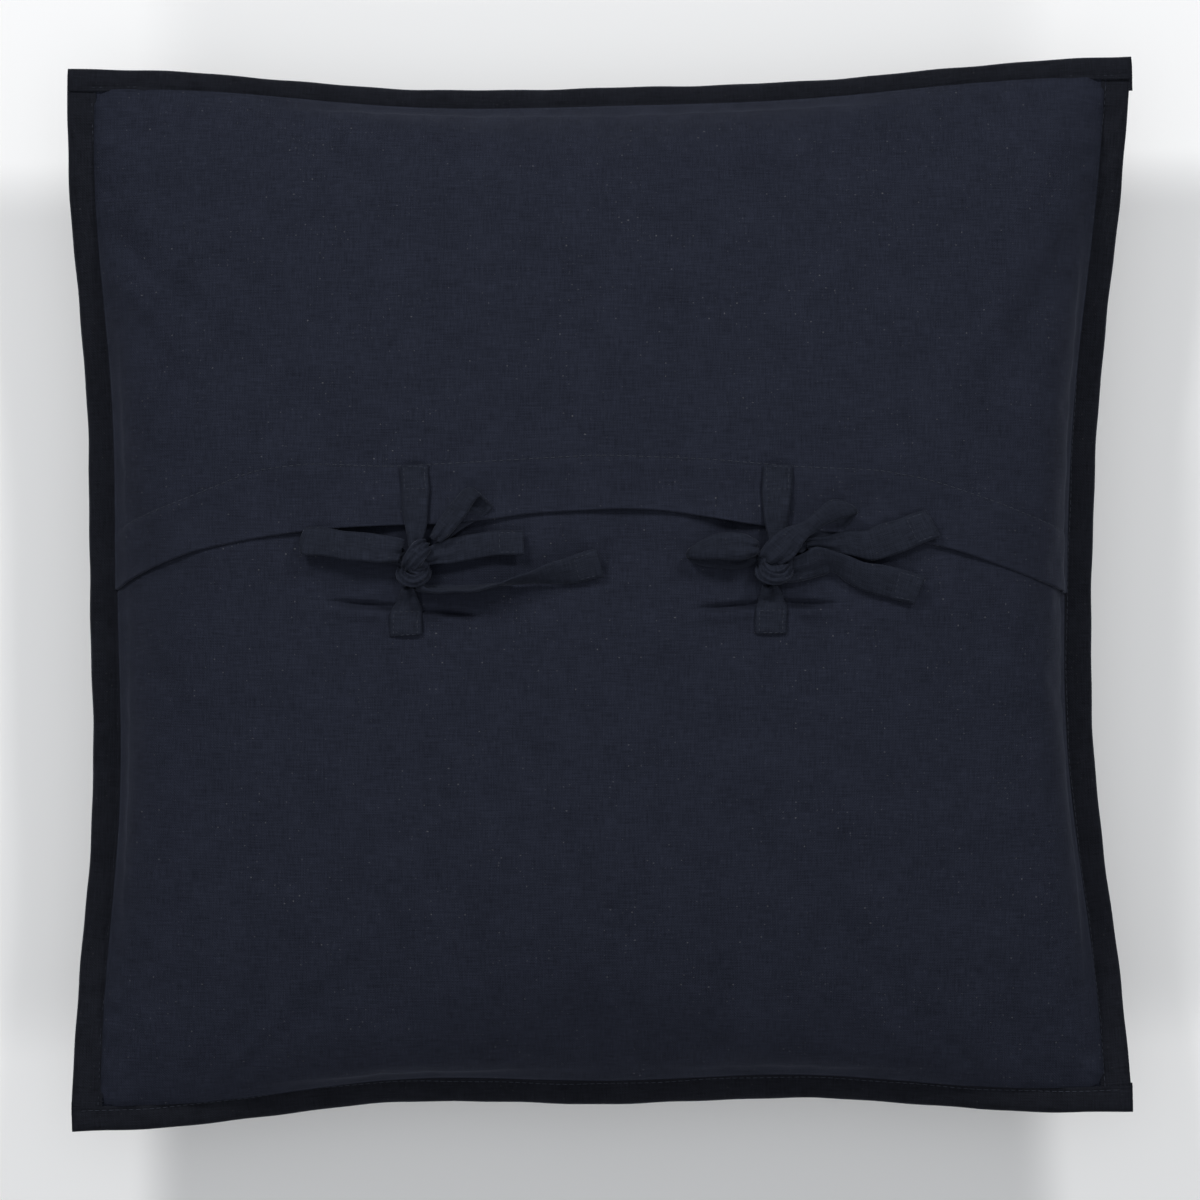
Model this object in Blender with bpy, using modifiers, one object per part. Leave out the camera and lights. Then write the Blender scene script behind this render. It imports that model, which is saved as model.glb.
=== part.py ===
"""A tie-back square cushion lying on its front face, envelope side up.

The cover is a front panel, a lower back panel and a flap that laps over it, all held
in a narrow folded binding.  Two pairs of sewn tapes are tied in bows across the flap
edge.  A separate insert (two ticking panels round a filling) sits inside the cover.
Lengths are metres, +Z is up, the origin is under the middle of the cushion on the floor.
"""
import math

import bmesh
import bpy
from mathutils import Matrix, Vector

MM = 0.001

# --- plan of the cover: outer corners of the binding and how far each side pulls in
CORNER_TOP_LEFT = Vector((-250.2, 247.0)) * MM
CORNER_TOP_RIGHT = Vector((249.8, 253.0)) * MM
CORNER_BOTTOM_LEFT = Vector((-245.8, -252.0)) * MM
CORNER_BOTTOM_RIGHT = Vector((250.7, -243.5)) * MM
PULL_LEFT = 10.0 * MM
PULL_RIGHT = 20.0 * MM
PULL_TOP = 12.0 * MM
PULL_BOTTOM = 9.0 * MM
PULL_POWER = 1.5              # how quickly a side straightens away from the corners

# --- side view: seam height over the floor and how far each face domes from it
SEAM_Z = 62.0 * MM
BACK_DOME = 78.0 * MM
FRONT_DOME = 72.0 * MM
DOME_ROUND = 2.2              # squareness of the dome's plan
DOME_EDGE = 0.5               # steepness of the dome at the seam

# --- cloth layers, measured outwards from the seam surface
CLOTH = 0.5 * MM
GAP = 0.3 * MM
FLAP_LIFT = CLOTH + GAP
FRONT_LIFT = GAP + CLOTH
TICKING = 0.4 * MM

# --- binding round the raw edges
BINDING_WIDTH = 12.0 * MM
BINDING_WALL = CLOTH
EDGE_INSET = BINDING_WALL + GAP       # panel edge inside the binding's outer face
SEAM_MARGIN = 12.5 * MM               # panel edge to the line where the dome starts
BINDING_TOP = FLAP_LIFT + CLOTH + GAP
BINDING_UNDER = FRONT_LIFT + GAP
BUTT_GAP = 1.2 * MM                   # side bindings stop short of the top and bottom ones

# --- envelope opening
FLAP_END_V = 0.03             # flap edge at the side seams, as a share of the half height
FLAP_PEAK_V = 0.176           # flap edge in the middle
FLAP_ARC_POWER = 2.6
TUCK_V = 0.25                 # how far the lower panel runs on under the flap
HEM_DEPTH = 28.5 * MM

# --- mesh divisions of the panels
INNER_COLUMNS = 20
LOWER_ROWS = 10
TUCK_ROWS = 2
UPPER_ROWS = 7
COLUMNS = INNER_COLUMNS + 2
ROWS = LOWER_ROWS + TUCK_ROWS + UPPER_ROWS + 2
FLAP_ROW = 1 + LOWER_ROWS
TUCK_ROW = FLAP_ROW + TUCK_ROWS

# --- insert inside the cover
INSERT_PLAN = 0.99
INSERT_RISE = 0.985
INSERT_EDGE = 0.4 * MM
INSERT_FLOOR = 1.3 * MM
FILLING_PLAN = 0.98
FILLING_RISE = 0.965
FILLING_FLOOR = 2.6 * MM

# --- tie tapes
TAPE_WIDTH = 15.8 * MM
TAPE_THICK = 0.9 * MM
TAPE_ROOT = 7.0 * MM          # width where a tape is gathered at the knot
TAPE_SPREAD = 28.0 * MM       # length over which it opens to full width
STEPS_PER_SPAN = 3

# --- sewing thread
THREAD = 0.25 * MM
THREAD_LIFT = 0.4 * MM
STITCH_INSET = 2.0 * MM
HEM_LINE_LIFT = 2.4 * MM
BOX_STITCH = Vector((12.0, 9.0)) * MM
BOX_INSET = 1.5 * MM


def clear_scene():
    for item in list(bpy.data.objects):
        bpy.data.objects.remove(item, do_unlink=True)


def material(name, colour, roughness):
    made = bpy.data.materials.new(name)
    made.use_nodes = True
    shader = made.node_tree.nodes["Principled BSDF"]
    shader.inputs["Base Color"].default_value = (*colour, 1.0)
    shader.inputs["Roughness"].default_value = roughness
    shader.inputs["Metallic"].default_value = 0.0
    return made


# ---------------------------------------------------------------- the cover's surface

def side_pull(share):
    """How much of a side's pull-in applies at this share of its length."""
    return math.sin(math.pi * min(max(share, 0.0), 1.0)) ** PULL_POWER


def corners():
    inset = EDGE_INSET
    return (
        CORNER_BOTTOM_LEFT + Vector((inset, inset)),
        CORNER_BOTTOM_RIGHT + Vector((-inset, inset)),
        CORNER_TOP_LEFT + Vector((inset, -inset)),
        CORNER_TOP_RIGHT + Vector((-inset, -inset)),
    )


def plan(u, v):
    """Plan position of a point of the cover; u and v run from -1 to 1 edge to edge."""
    a = (u + 1.0) / 2.0
    b = (v + 1.0) / 2.0
    low_left, low_right, high_left, high_right = corners()
    low = low_left.lerp(low_right, a) + Vector((0.0, PULL_BOTTOM * side_pull(a)))
    high = high_left.lerp(high_right, a) - Vector((0.0, PULL_TOP * side_pull(a)))
    left = low_left.lerp(high_left, b) + Vector((PULL_LEFT * side_pull(b), 0.0))
    right = low_right.lerp(high_right, b) - Vector((PULL_RIGHT * side_pull(b), 0.0))
    middle = low_left.lerp(low_right, a).lerp(high_left.lerp(high_right, a), b)
    return low.lerp(high, b) + left.lerp(right, a) - middle


SEAM_SHARE = 1.0 - SEAM_MARGIN / (abs(CORNER_TOP_LEFT.x) - PULL_LEFT)


def swell(share):
    """Rise of the dome across one direction, 1 in the middle and 0 at the seam."""
    inside = 1.0 - min(abs(share), 1.0) ** DOME_ROUND
    return max(inside, 0.0) ** DOME_EDGE


def dome(u, v):
    return swell(u / SEAM_SHARE) * swell(v / SEAM_SHARE)


def place_back(u, v):
    spot = plan(u, v)
    return Vector((spot.x, spot.y, SEAM_Z + BACK_DOME * dome(u, v)))


def place_front(u, v):
    spot = plan(u, v)
    height = SEAM_Z - FRONT_LIFT - FRONT_DOME * dome(u, v)
    return Vector((spot.x, spot.y, max(height, 0.0)))


def place_insert_back(u, v):
    spot = plan(u, v) * INSERT_PLAN
    return Vector((spot.x, spot.y, SEAM_Z + INSERT_EDGE + INSERT_RISE * BACK_DOME * dome(u, v)))


def place_insert_front(u, v):
    spot = plan(u, v) * INSERT_PLAN
    height = SEAM_Z - INSERT_EDGE - INSERT_RISE * FRONT_DOME * dome(u, v)
    return Vector((spot.x, spot.y, max(height, INSERT_FLOOR)))


def place_filling_back(u, v):
    spot = plan(u, v) * FILLING_PLAN
    return Vector((spot.x, spot.y, SEAM_Z + FILLING_RISE * BACK_DOME * dome(u, v)))


def place_filling_front(u, v):
    spot = plan(u, v) * FILLING_PLAN
    height = SEAM_Z - FILLING_RISE * FRONT_DOME * dome(u, v)
    return Vector((spot.x, spot.y, max(height, FILLING_FLOOR)))


def flap_edge(u):
    """Row position of the flap's free edge at this column."""
    across = min(abs(u / SEAM_SHARE), 1.0)
    return FLAP_END_V + (FLAP_PEAK_V - FLAP_END_V) * (1.0 - across ** FLAP_ARC_POWER)


def column_u(index):
    if index == 0:
        return -1.0
    if index == COLUMNS:
        return 1.0
    share = 2.0 * (index - 1) / INNER_COLUMNS - 1.0
    return SEAM_SHARE * math.sin(math.pi / 2.0 * share)


def row_v(index, u):
    """Rows run parallel to the seams at top and bottom and to the flap edge between."""
    edge = flap_edge(u)
    tucked = edge + TUCK_V
    if index == 0:
        return -1.0
    if index == ROWS:
        return 1.0
    if index <= FLAP_ROW:
        share = (index - 1) / LOWER_ROWS
        return -SEAM_SHARE + (edge + SEAM_SHARE) * (1.0 - math.cos(math.pi / 2.0 * share))
    if index <= TUCK_ROW:
        return edge + TUCK_V * (index - FLAP_ROW) / TUCK_ROWS
    share = (index - TUCK_ROW) / UPPER_ROWS
    return tucked + (SEAM_SHARE - tucked) * math.sin(math.pi / 2.0 * share)


def add_sheet(bm, place, downward):
    """A grid laid over the cushion; each quad is cut towards the nearest corner."""
    made = bmesh.ops.create_grid(bm, x_segments=COLUMNS, y_segments=ROWS, size=1.0)
    verts = made["verts"]
    faces = list({face for vert in verts for face in vert.link_faces})
    for same in (True, False):
        group = []
        for face in faces:
            mid = face.calc_center_median()
            if (mid.x * mid.y > 0.0) == same:
                group.append(face)
        method = "FIXED" if same else "ALTERNATE"
        bmesh.ops.triangulate(bm, faces=group, quad_method=method)
    cells = {}
    for vert in verts:
        i = round((vert.co.x + 1.0) / 2.0 * COLUMNS)
        j = round((vert.co.y + 1.0) / 2.0 * ROWS)
        cells[vert] = (i, j)
    for vert, (i, j) in cells.items():
        u = column_u(i)
        vert.co = place(u, row_v(j, u))
    if downward:
        turned = list({face for vert in verts for face in vert.link_faces})
        bmesh.ops.reverse_faces(bm, faces=turned)
    bm.normal_update()
    return cells


def crop(bm, cells, first, last, margin):
    """Keep rows first..last, and leave out the seam margin when it is not wanted."""
    rim = 0 if margin else 1
    doomed = []
    for vert, (i, j) in cells.items():
        if j < first or j > last or i < rim or i > COLUMNS - rim:
            doomed.append(vert)
    bmesh.ops.delete(bm, geom=doomed, context="VERTS")


def keep_object(bm, name, look, origin=None):
    mesh = bpy.data.meshes.new(name)
    if origin is not None:
        bm.transform(Matrix.Translation(-origin))
    bm.to_mesh(mesh)
    bm.free()
    mesh.materials.append(look)
    made = bpy.data.objects.new(name, mesh)
    if origin is not None:
        made.location = origin
    cushion.objects.link(made)
    for face in mesh.polygons:
        face.use_smooth = True
    return made


def solidify(target, thickness, offset):
    shell = target.modifiers.new("cloth", "SOLIDIFY")
    shell.thickness = thickness
    shell.offset = offset


def panel(name, place, rows, look, lift=0.0, downward=False, margin=True, thickness=CLOTH, grow=1.0):
    bm = bmesh.new()
    cells = add_sheet(bm, place, downward)
    normals = {vert: vert.normal.copy() for vert in bm.verts}
    for vert, normal in normals.items():
        vert.co += normal * lift
    crop(bm, cells, rows[0], rows[1], margin)
    made = keep_object(bm, name, look)
    solidify(made, thickness, grow)
    return made


def filling(name, look):
    bm = bmesh.new()
    back = add_sheet(bm, place_filling_back, False)
    crop(bm, back, 1, ROWS - 1, False)
    front = add_sheet(bm, place_filling_front, True)
    crop(bm, front, 1, ROWS - 1, False)
    bmesh.ops.remove_doubles(bm, verts=bm.verts[:], dist=0.01 * MM)
    return keep_object(bm, name, look)


# ---------------------------------------------------------------- binding

def binding_section():
    """Half section of the fold: over the back, round the edge, under the front."""
    reach = BINDING_WIDTH - EDGE_INSET
    return (
        (reach, BINDING_TOP),
        (-GAP, BINDING_TOP),
        (-GAP, -BINDING_UNDER),
        (reach, -BINDING_UNDER),
    )


def binding(name, look, along, inward, side_shares):
    """A folded strip that follows one side; along(share) gives the panel edge in plan."""
    section = binding_section()
    bm = bmesh.new()
    bmesh.ops.create_grid(bm, x_segments=len(side_shares) - 1, y_segments=len(section) - 1, size=1.0)
    spans = len(side_shares) - 1
    for vert in bm.verts:
        i = round((vert.co.x + 1.0) / 2.0 * spans)
        j = round((vert.co.y + 1.0) / 2.0 * (len(section) - 1))
        spot = along(side_shares[i]) + inward * section[j][0]
        vert.co = Vector((spot.x, spot.y, SEAM_Z + section[j][1]))
    bmesh.ops.recalc_face_normals(bm, faces=bm.faces[:])
    middle = along(0.0)
    for face in bm.faces:
        if face.calc_center_median().z > SEAM_Z + BINDING_TOP - GAP and face.normal.z < 0.0:
            bmesh.ops.reverse_faces(bm, faces=bm.faces[:])
            break
    made = keep_object(bm, name, look)
    for face in made.data.polygons:
        face.use_smooth = False
    fold = made.modifiers.new("cloth", "SOLIDIFY")
    fold.thickness = BINDING_WALL
    fold.offset = 1.0
    fold.use_even_offset = True
    made["side_middle"] = (middle.x, middle.y)
    return made


def long_shares():
    """Columns of the panels, run out to the outer corners of the side bindings."""
    run_out = EDGE_INSET / abs(CORNER_TOP_LEFT.x)
    inner = [column_u(i) for i in range(1, COLUMNS)]
    return [-1.0 - run_out] + inner + [1.0 + run_out]


def short_shares(edge_u):
    """Rows of the panels between the top and the bottom bindings."""
    stop = 1.0 - (BINDING_WIDTH + BUTT_GAP - EDGE_INSET) / abs(CORNER_TOP_LEFT.y)
    inner = [row_v(j, edge_u) for j in range(2, ROWS - 1)]
    return [-stop] + inner + [stop]


# ---------------------------------------------------------------- tapes

def share_at(x, y):
    """Column and row shares of a plan position."""
    u = x / abs(CORNER_TOP_LEFT.x)
    v = y / abs(CORNER_TOP_LEFT.y)
    for _ in range(8):
        spot = plan(u, v)
        u += (x - spot.x) / abs(CORNER_TOP_LEFT.x)
        v += (y - spot.y) / abs(CORNER_TOP_LEFT.y)
    return u, v


def back_height(x, y):
    u, v = share_at(x, y)
    return SEAM_Z + BACK_DOME * dome(u, v)


def over_back(spot):
    """World position of a spot whose third number is its height above the back."""
    return Vector((spot.x, spot.y, back_height(spot.x, spot.y) + spot.z))


def square_off_back(x, y, lift):
    """A point over x, y that stands off the back along its normal."""
    step = 1.0 * MM
    slope_x = (back_height(x + step, y) - back_height(x - step, y)) / (2.0 * step)
    slope_y = (back_height(x, y + step) - back_height(x, y - step)) / (2.0 * step)
    normal = Vector((-slope_x, -slope_y, 1.0)).normalized()
    return Vector((x, y, back_height(x, y))) + normal * lift


def smooth_path(points):
    """Rounded path through the points."""
    ends = [points[0] * 2 - points[1]] + list(points) + [points[-1] * 2 - points[-2]]
    path = []
    for k in range(len(points) - 1):
        p0, p1, p2, p3 = ends[k:k + 4]
        for step in range(STEPS_PER_SPAN):
            t = step / STEPS_PER_SPAN
            blend = (p1 * 2 + (p2 - p0) * t + (p0 * 2 - p1 * 5 + p2 * 4 - p3) * t * t
                     + (p1 * 3 - p0 - p2 * 3 + p3) * t * t * t)
            path.append(blend * 0.5)
    path.append(points[-1].copy())
    return path


def tape(name, look, path, width_at, way, origin=None):
    """A flat tape draped over the back along a path of spots, square to the way it runs."""
    spans = len(path) - 1
    bm = bmesh.new()
    bmesh.ops.create_grid(bm, x_segments=spans, y_segments=2, size=1.0)
    run = [0.0]
    for k in range(spans):
        run.append(run[-1] + (path[k + 1] - path[k]).length)
    straight = Vector((-way.y, way.x, 0.0)).normalized()
    for vert in bm.verts:
        i = round((vert.co.x + 1.0) / 2.0 * spans)
        j = round(vert.co.y + 1.0) - 1
        ahead = path[min(i + 1, spans)] - path[max(i - 1, 0)]
        square = Vector((-ahead.y, ahead.x, 0.0))
        across = straight
        if square.length > 0.5 * MM and square.normalized().dot(straight) > 0.5:
            across = square.normalized()
        half = width_at(run[i], run[-1]) / 2.0
        vert.co = over_back(path[i] + across * (half * j))
    bmesh.ops.recalc_face_normals(bm, faces=bm.faces[:])
    made = keep_object(bm, name, look, origin)
    solidify(made, TAPE_THICK, 0.0)
    return made


def spreading(run, length):
    """Gathered at the knot and opening out along the tape."""
    return TAPE_ROOT + (TAPE_WIDTH - TAPE_ROOT) * min(run / TAPE_SPREAD, 1.0)


def pinched_loop(run, length):
    """Gathered at both ends of a loop."""
    return spreading(min(run, length - run), length)


def gathered_end(run, length):
    """Full width at the sewn end and drawn in at the knot."""
    left = length - run
    return TAPE_ROOT + (TAPE_WIDTH - TAPE_ROOT) * min(left / (TAPE_SPREAD / 2.0), 1.0)


def loop_path(root, tip, rise):
    """Out along the cushion, round the fold and back on top to the knot."""
    reach = (tip - root) * 1.0
    flat = Vector((reach.x, reach.y, 0.0))
    drop = Vector((0.0, 0.0, reach.z))
    up = Vector((0.0, 0.0, 1.0))
    stack = up * TAPE_THICK
    points = [
        root - stack,
        root + flat * 0.35 + drop * 0.6 - stack,
        root + flat * 0.72 + drop * 0.95,
        root + flat * 0.95 + drop + up * (rise * 0.12),
        root + flat * 1.0 + drop + up * (rise * 0.5),
        root + flat * 0.93 + drop * 0.9 + up * (rise * 0.9),
        root + flat * 0.65 + drop * 0.6 + up * rise,
        root + flat * 0.3 + drop * 0.2 + up * (rise * 0.7),
        root + stack,
    ]
    return smooth_path(points)


def knot(name, look, centre, size, turn):
    """The gathered wrap of both tapes."""
    bm = bmesh.new()
    bmesh.ops.create_cube(bm, size=1.0)
    bmesh.ops.subdivide_edges(bm, edges=bm.edges[:], cuts=1, use_grid_fill=True)
    bm.transform(Matrix.Rotation(turn, 4, "Z") @ Matrix.Diagonal((*size, 1.0)))
    made = keep_object(bm, name, look)
    made.location = centre
    rounder = made.modifiers.new("round", "SUBSURF")
    rounder.levels = 2
    rounder.render_levels = 2
    return made


def thread(name, look, points, closed=False):
    line = bpy.data.curves.new(name, "CURVE")
    line.dimensions = "3D"
    line.bevel_depth = THREAD
    line.bevel_resolution = 1
    line.use_fill_caps = not closed
    spline = line.splines.new("POLY")
    spline.points.add(len(points) - 1)
    for k, spot in enumerate(points):
        spline.points[k].co = (*spot, 1.0)
    spline.use_cyclic_u = closed
    line.materials.append(look)
    made = bpy.data.objects.new(name, line)
    cushion.objects.link(made)
    return made


def box_stitch(name, look, centre, along, lift):
    """A sewn rectangle on the fixed end of a tape."""
    way = Vector((along.x, along.y, 0.0)).normalized()
    across = Vector((-way.y, way.x, 0.0))
    half_w, half_l = BOX_STITCH.x / 2.0, BOX_STITCH.y / 2.0
    points = []
    for w, l in ((-1, -1), (0, -1), (1, -1), (1, 1), (0, 1), (-1, 1)):
        spot = centre + across * (half_w * w) + way * (half_l * l)
        spot.z = lift
        points.append(over_back(spot))
    return thread(name, look, points, closed=True)


# ---------------------------------------------------------------- build

clear_scene()
cushion = bpy.data.collections.new("tie_back_cushion")
bpy.context.scene.collection.children.link(cushion)

NAVY = (0.0152, 0.0176, 0.0273)
NAVY_DEEP = (0.011, 0.0125, 0.019)
NAVY_THREAD = (0.03, 0.034, 0.05)
UNDYED = (0.72, 0.70, 0.66)
WHITE_FIBRE = (0.85, 0.85, 0.84)

panel("front_panel", place_front, (0, ROWS), material("front_cloth", NAVY, 0.9),
      downward=True, grow=-1.0)
panel("back_lower_panel", place_back, (0, TUCK_ROW), material("lower_cloth", NAVY, 0.9))
panel("back_flap_panel", place_back, (FLAP_ROW, ROWS), material("flap_cloth", NAVY, 0.9), lift=FLAP_LIFT)

panel("insert_front_ticking", place_insert_front, (1, ROWS - 1), material("ticking_front", UNDYED, 0.85),
      downward=True, margin=False, thickness=TICKING, grow=-1.0)
panel("insert_back_ticking", place_insert_back, (1, ROWS - 1), material("ticking_back", UNDYED, 0.85),
      margin=False, thickness=TICKING, grow=-1.0)
filling("insert_filling", material("filling_fibre", WHITE_FIBRE, 1.0))

SIDES = {
    "top": (lambda s: plan(s, 1.0), Vector((0.0, -1.0)), long_shares()),
    "bottom": (lambda s: plan(s, -1.0), Vector((0.0, 1.0)), long_shares()),
    "left": (lambda s: plan(-1.0, s), Vector((1.0, 0.0)), short_shares(-1.0)),
    "right": (lambda s: plan(1.0, s), Vector((-1.0, 0.0)), short_shares(1.0)),
}
for side_name, (edge_line, inward_way, shares) in SIDES.items():
    binding("binding_" + side_name, material("binding_" + side_name + "_cloth", NAVY_DEEP, 0.9),
            edge_line, inward_way, shares)
    seam_run = []
    stitch_in = BINDING_WIDTH - EDGE_INSET - STITCH_INSET
    for share in shares[1:-1]:
        at = edge_line(share) + inward_way * stitch_in
        over = SEAM_Z + BINDING_TOP + BINDING_WALL + THREAD_LIFT
        seam_run.append(Vector((at.x, at.y, over)))
    thread("stitching_" + side_name, material("thread_" + side_name, NAVY_THREAD, 0.6), seam_run)

hem_line = []
for column in range(2, COLUMNS - 1):
    u_here = column_u(column)
    hem_spot = plan(u_here, flap_edge(u_here))
    hem_line.append(square_off_back(hem_spot.x, hem_spot.y + HEM_DEPTH, HEM_LINE_LIFT))
thread("stitching_flap_hem", material("thread_hem", NAVY_THREAD, 0.6), hem_line)

# Each bow: knot centre, sewn ends, loop roots and tips, tail roots and way points.
# Plan positions are millimetres; the third number is the height above the back.
BOWS = {
    "left": {
        "knot": (-88.0, 12.5, 7.0),
        "knot_size": (19.0, 18.0, 10.0),
        "knot_turn": 0.3,
        "flap_tab": ((-86.8, 59.0, 2.4), (-86.8, 47.0, 2.4), (-87.0, 36.0, 2.6), (-87.6, 25.0, 4.6)),
        "panel_tab": ((-91.5, -20.0, 1.4), (-91.0, -10.0, 1.4), (-89.6, -4.0, 1.8), (-88.6, 0.4, 4.4)),
        "loops": (((-100.6, 17.0, 6.6), (-139.5, 24.5, 4.0), 11.0),
                  ((-79.0, 24.2, 8.4), (-58.5, 46.5, 6.0), 12.0)),
        "tails": (((-75.6, 15.6, 5.0), (-62.0, 19.5, 3.4), (-49.0, 23.0, 2.6), (-36.0, 25.4, 3.4)),
                  ((-77.5, -0.5, 5.0), (-62.0, -1.5, 3.0), (-42.0, 2.5, 2.6), (-20.0, 11.0, 2.8),
                   (1.6, 19.0, 3.2))),
    },
    "right": {
        "knot": (81.0, 10.0, 7.0),
        "knot_size": (19.5, 17.5, 10.0),
        "knot_turn": -0.2,
        "flap_tab": ((83.5, 58.5, 2.4), (83.4, 46.0, 2.4), (82.8, 35.0, 2.6), (81.8, 22.6, 4.6)),
        "panel_tab": ((80.2, -19.0, 1.4), (80.2, -11.0, 1.4), (80.4, -5.5, 1.8), (80.8, -2.0, 4.4)),
        "loops": (((69.0, 14.0, 6.6), (40.5, 22.5, 4.0), 15.0),
                  ((89.6, 22.2, 8.4), (119.0, 42.5, 6.0), 12.0)),
        "tails": (((93.8, 11.8, 5.0), (116.0, 18.5, 3.2), (140.0, 27.0, 2.6), (160.5, 33.0, 3.2)),
                  ((92.5, 0.5, 5.0), (108.0, -2.5, 3.2), (131.0, -3.5, 2.6), (153.0, 1.0, 3.2))),
    },
}

for bow_name, bow in BOWS.items():
    cloth = {}
    for piece in ("flap_tab", "panel_tab", "knot", "loop_a", "loop_b", "tail_a", "tail_b"):
        cloth[piece] = material(bow_name + "_" + piece + "_cloth", NAVY, 0.9)
    centre = Vector(bow["knot"]) * MM
    knot(bow_name + "_knot", cloth["knot"], over_back(centre), Vector(bow["knot_size"]) * MM,
         bow["knot_turn"])
    for piece in ("flap_tab", "panel_tab"):
        spots = [Vector(spot) * MM for spot in bow[piece]]
        tape(bow_name + "_" + piece, cloth[piece], smooth_path(spots), gathered_end, spots[-1] - spots[0])
        way = (spots[1] - spots[0]).normalized()
        box_stitch(bow_name + "_" + piece + "_stitching",
                   material(bow_name + "_" + piece + "_thread", NAVY_THREAD, 0.6),
                   spots[0] + way * (BOX_STITCH.y / 2.0 + BOX_INSET), way,
                   spots[0].z + TAPE_THICK / 2.0 + THREAD_LIFT)
    for letter, (root, tip, rise) in zip("ab", bow["loops"]):
        root, tip = Vector(root) * MM, Vector(tip) * MM
        tape(bow_name + "_loop_" + letter, cloth["loop_" + letter], loop_path(root, tip, rise * MM),
             pinched_loop, tip - root, over_back(root))
    for letter, way_points in zip("ab", bow["tails"]):
        spots = [Vector(spot) * MM for spot in way_points]
        tape(bow_name + "_tail_" + letter, cloth["tail_" + letter], smooth_path(spots), spreading,
             spots[-1] - spots[0], over_back(spots[0]))
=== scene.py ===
"""Looks of the tie-back floor cushion: cover cloth, binding, bows, stitching and insert.

Plan positions and heights in this file are millimetres until a mesh is made.  The
cushion lies on its front face with the envelope side up, +Y towards the flap.
"""
import math

import bpy
import numpy as np
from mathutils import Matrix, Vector


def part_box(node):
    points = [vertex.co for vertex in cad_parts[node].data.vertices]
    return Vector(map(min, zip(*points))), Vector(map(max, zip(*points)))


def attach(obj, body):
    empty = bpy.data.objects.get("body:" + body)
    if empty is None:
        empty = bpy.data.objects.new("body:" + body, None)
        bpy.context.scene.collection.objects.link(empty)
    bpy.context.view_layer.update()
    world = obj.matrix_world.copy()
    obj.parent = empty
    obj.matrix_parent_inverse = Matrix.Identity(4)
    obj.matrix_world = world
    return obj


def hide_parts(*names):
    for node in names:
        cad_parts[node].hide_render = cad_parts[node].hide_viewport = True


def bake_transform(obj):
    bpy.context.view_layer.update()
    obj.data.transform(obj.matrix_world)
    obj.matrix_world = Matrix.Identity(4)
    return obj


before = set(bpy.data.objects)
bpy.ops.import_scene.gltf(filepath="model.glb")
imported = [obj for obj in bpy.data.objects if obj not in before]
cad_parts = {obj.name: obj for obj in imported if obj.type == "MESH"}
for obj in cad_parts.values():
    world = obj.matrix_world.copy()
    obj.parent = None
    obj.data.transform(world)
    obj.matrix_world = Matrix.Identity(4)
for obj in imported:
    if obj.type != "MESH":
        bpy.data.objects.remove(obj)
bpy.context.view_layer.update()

MM = 0.001
SEAM_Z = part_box("binding_left")[0].z / MM + 1.6  # height of the flat edge's middle plane
BACK_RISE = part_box("back_flap_panel")[1].z / MM - SEAM_Z - 1.3  # under the flap's thickness
FRONT_RISE = 72.0  # before the floor flattens it
rng = np.random.default_rng(11)

# ---- outline of the cover
CORNER = {"bl": (-248.1, -252.6), "br": (251.0, -243.2),
          "tl": (-250.0, 247.0), "tr": (250.0, 253.0)}
# how far each side pulls in, as a sine series from its low end to its high end
PULL = {"left": (9.92, 1.24, -0.74, 0.15, -1.13), "right": (18.2, 1.02, -1.25, -0.22, -0.82),
        "top": (11.59, 0.41, -1.04, -0.31, -0.94), "bottom": (9.87, 0.72, -0.11, -0.16, -1.81)}
FLAT = {side: (0.0,) for side in PULL}
SEAM_INSET = {"left": 12.6, "right": 12.8, "top": 9.2, "bottom": 11.0}
# how far the stuffed cloth pushes out over the flat edge in the middle of each side
BULGE = {"left": 16.0, "right": 20.0, "top": 15.0, "bottom": 22.5}
BULGE_DEPTH = 8.0
DROOP = 4.5  # the flat edge hangs by this much in the middle of a side
CORNER_ROUND = 13.0  # the stuffing stops short of the corners in an arc
OUTER = {side: 0.0 for side in PULL}
SIDE = 480.0  # nominal length of a side between seams
ACROSS_SEAMS, UP_SEAMS = 477, 482  # the plan between opposite seams


def unit(vectors):
    """The same directions at length one."""
    return vectors / np.maximum(np.linalg.norm(vectors, axis=-1, keepdims=True), 1e-9)


def run_of(points):
    """Distance along a line of points, counted from its first one."""
    return np.concatenate([[0], np.cumsum(np.linalg.norm(np.diff(points, axis=0), axis=1))])


def series(terms, t):
    return sum(a * np.sin(math.pi * (k + 1) * t) for k, a in enumerate(terms))


def nearest_side(u, v):
    """Share of the way in from the nearest side."""
    return np.minimum(np.minimum(u, 1 - u), np.minimum(v, 1 - v))


def plan(u, v, inset, pulls=PULL):
    """Point of the cover's plan at shares u across and v up, between its four sides."""
    u, v = np.asarray(u, float)[..., None], np.asarray(v, float)[..., None]
    corner = {}
    for name, (x, y) in CORNER.items():
        dx = inset["left"] if name[1] == "l" else -inset["right"]
        dy = inset["bottom"] if name[0] == "b" else -inset["top"]
        corner[name] = np.array((x + dx, y + dy))
    across, up = np.array((1.0, 0.0)), np.array((0.0, 1.0))
    low = corner["bl"] * (1 - u) + corner["br"] * u + up * series(pulls["bottom"], u)
    high = corner["tl"] * (1 - u) + corner["tr"] * u - up * series(pulls["top"], u)
    left = corner["bl"] * (1 - v) + corner["tl"] * v + across * series(pulls["left"], v)
    right = corner["br"] * (1 - v) + corner["tr"] * v - across * series(pulls["right"], v)
    mid = ((corner["bl"] * (1 - u) + corner["br"] * u) * (1 - v)
           + (corner["tl"] * (1 - u) + corner["tr"] * u) * v)
    return low * (1 - v) + high * v + left * (1 - u) + right * u - mid


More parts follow.
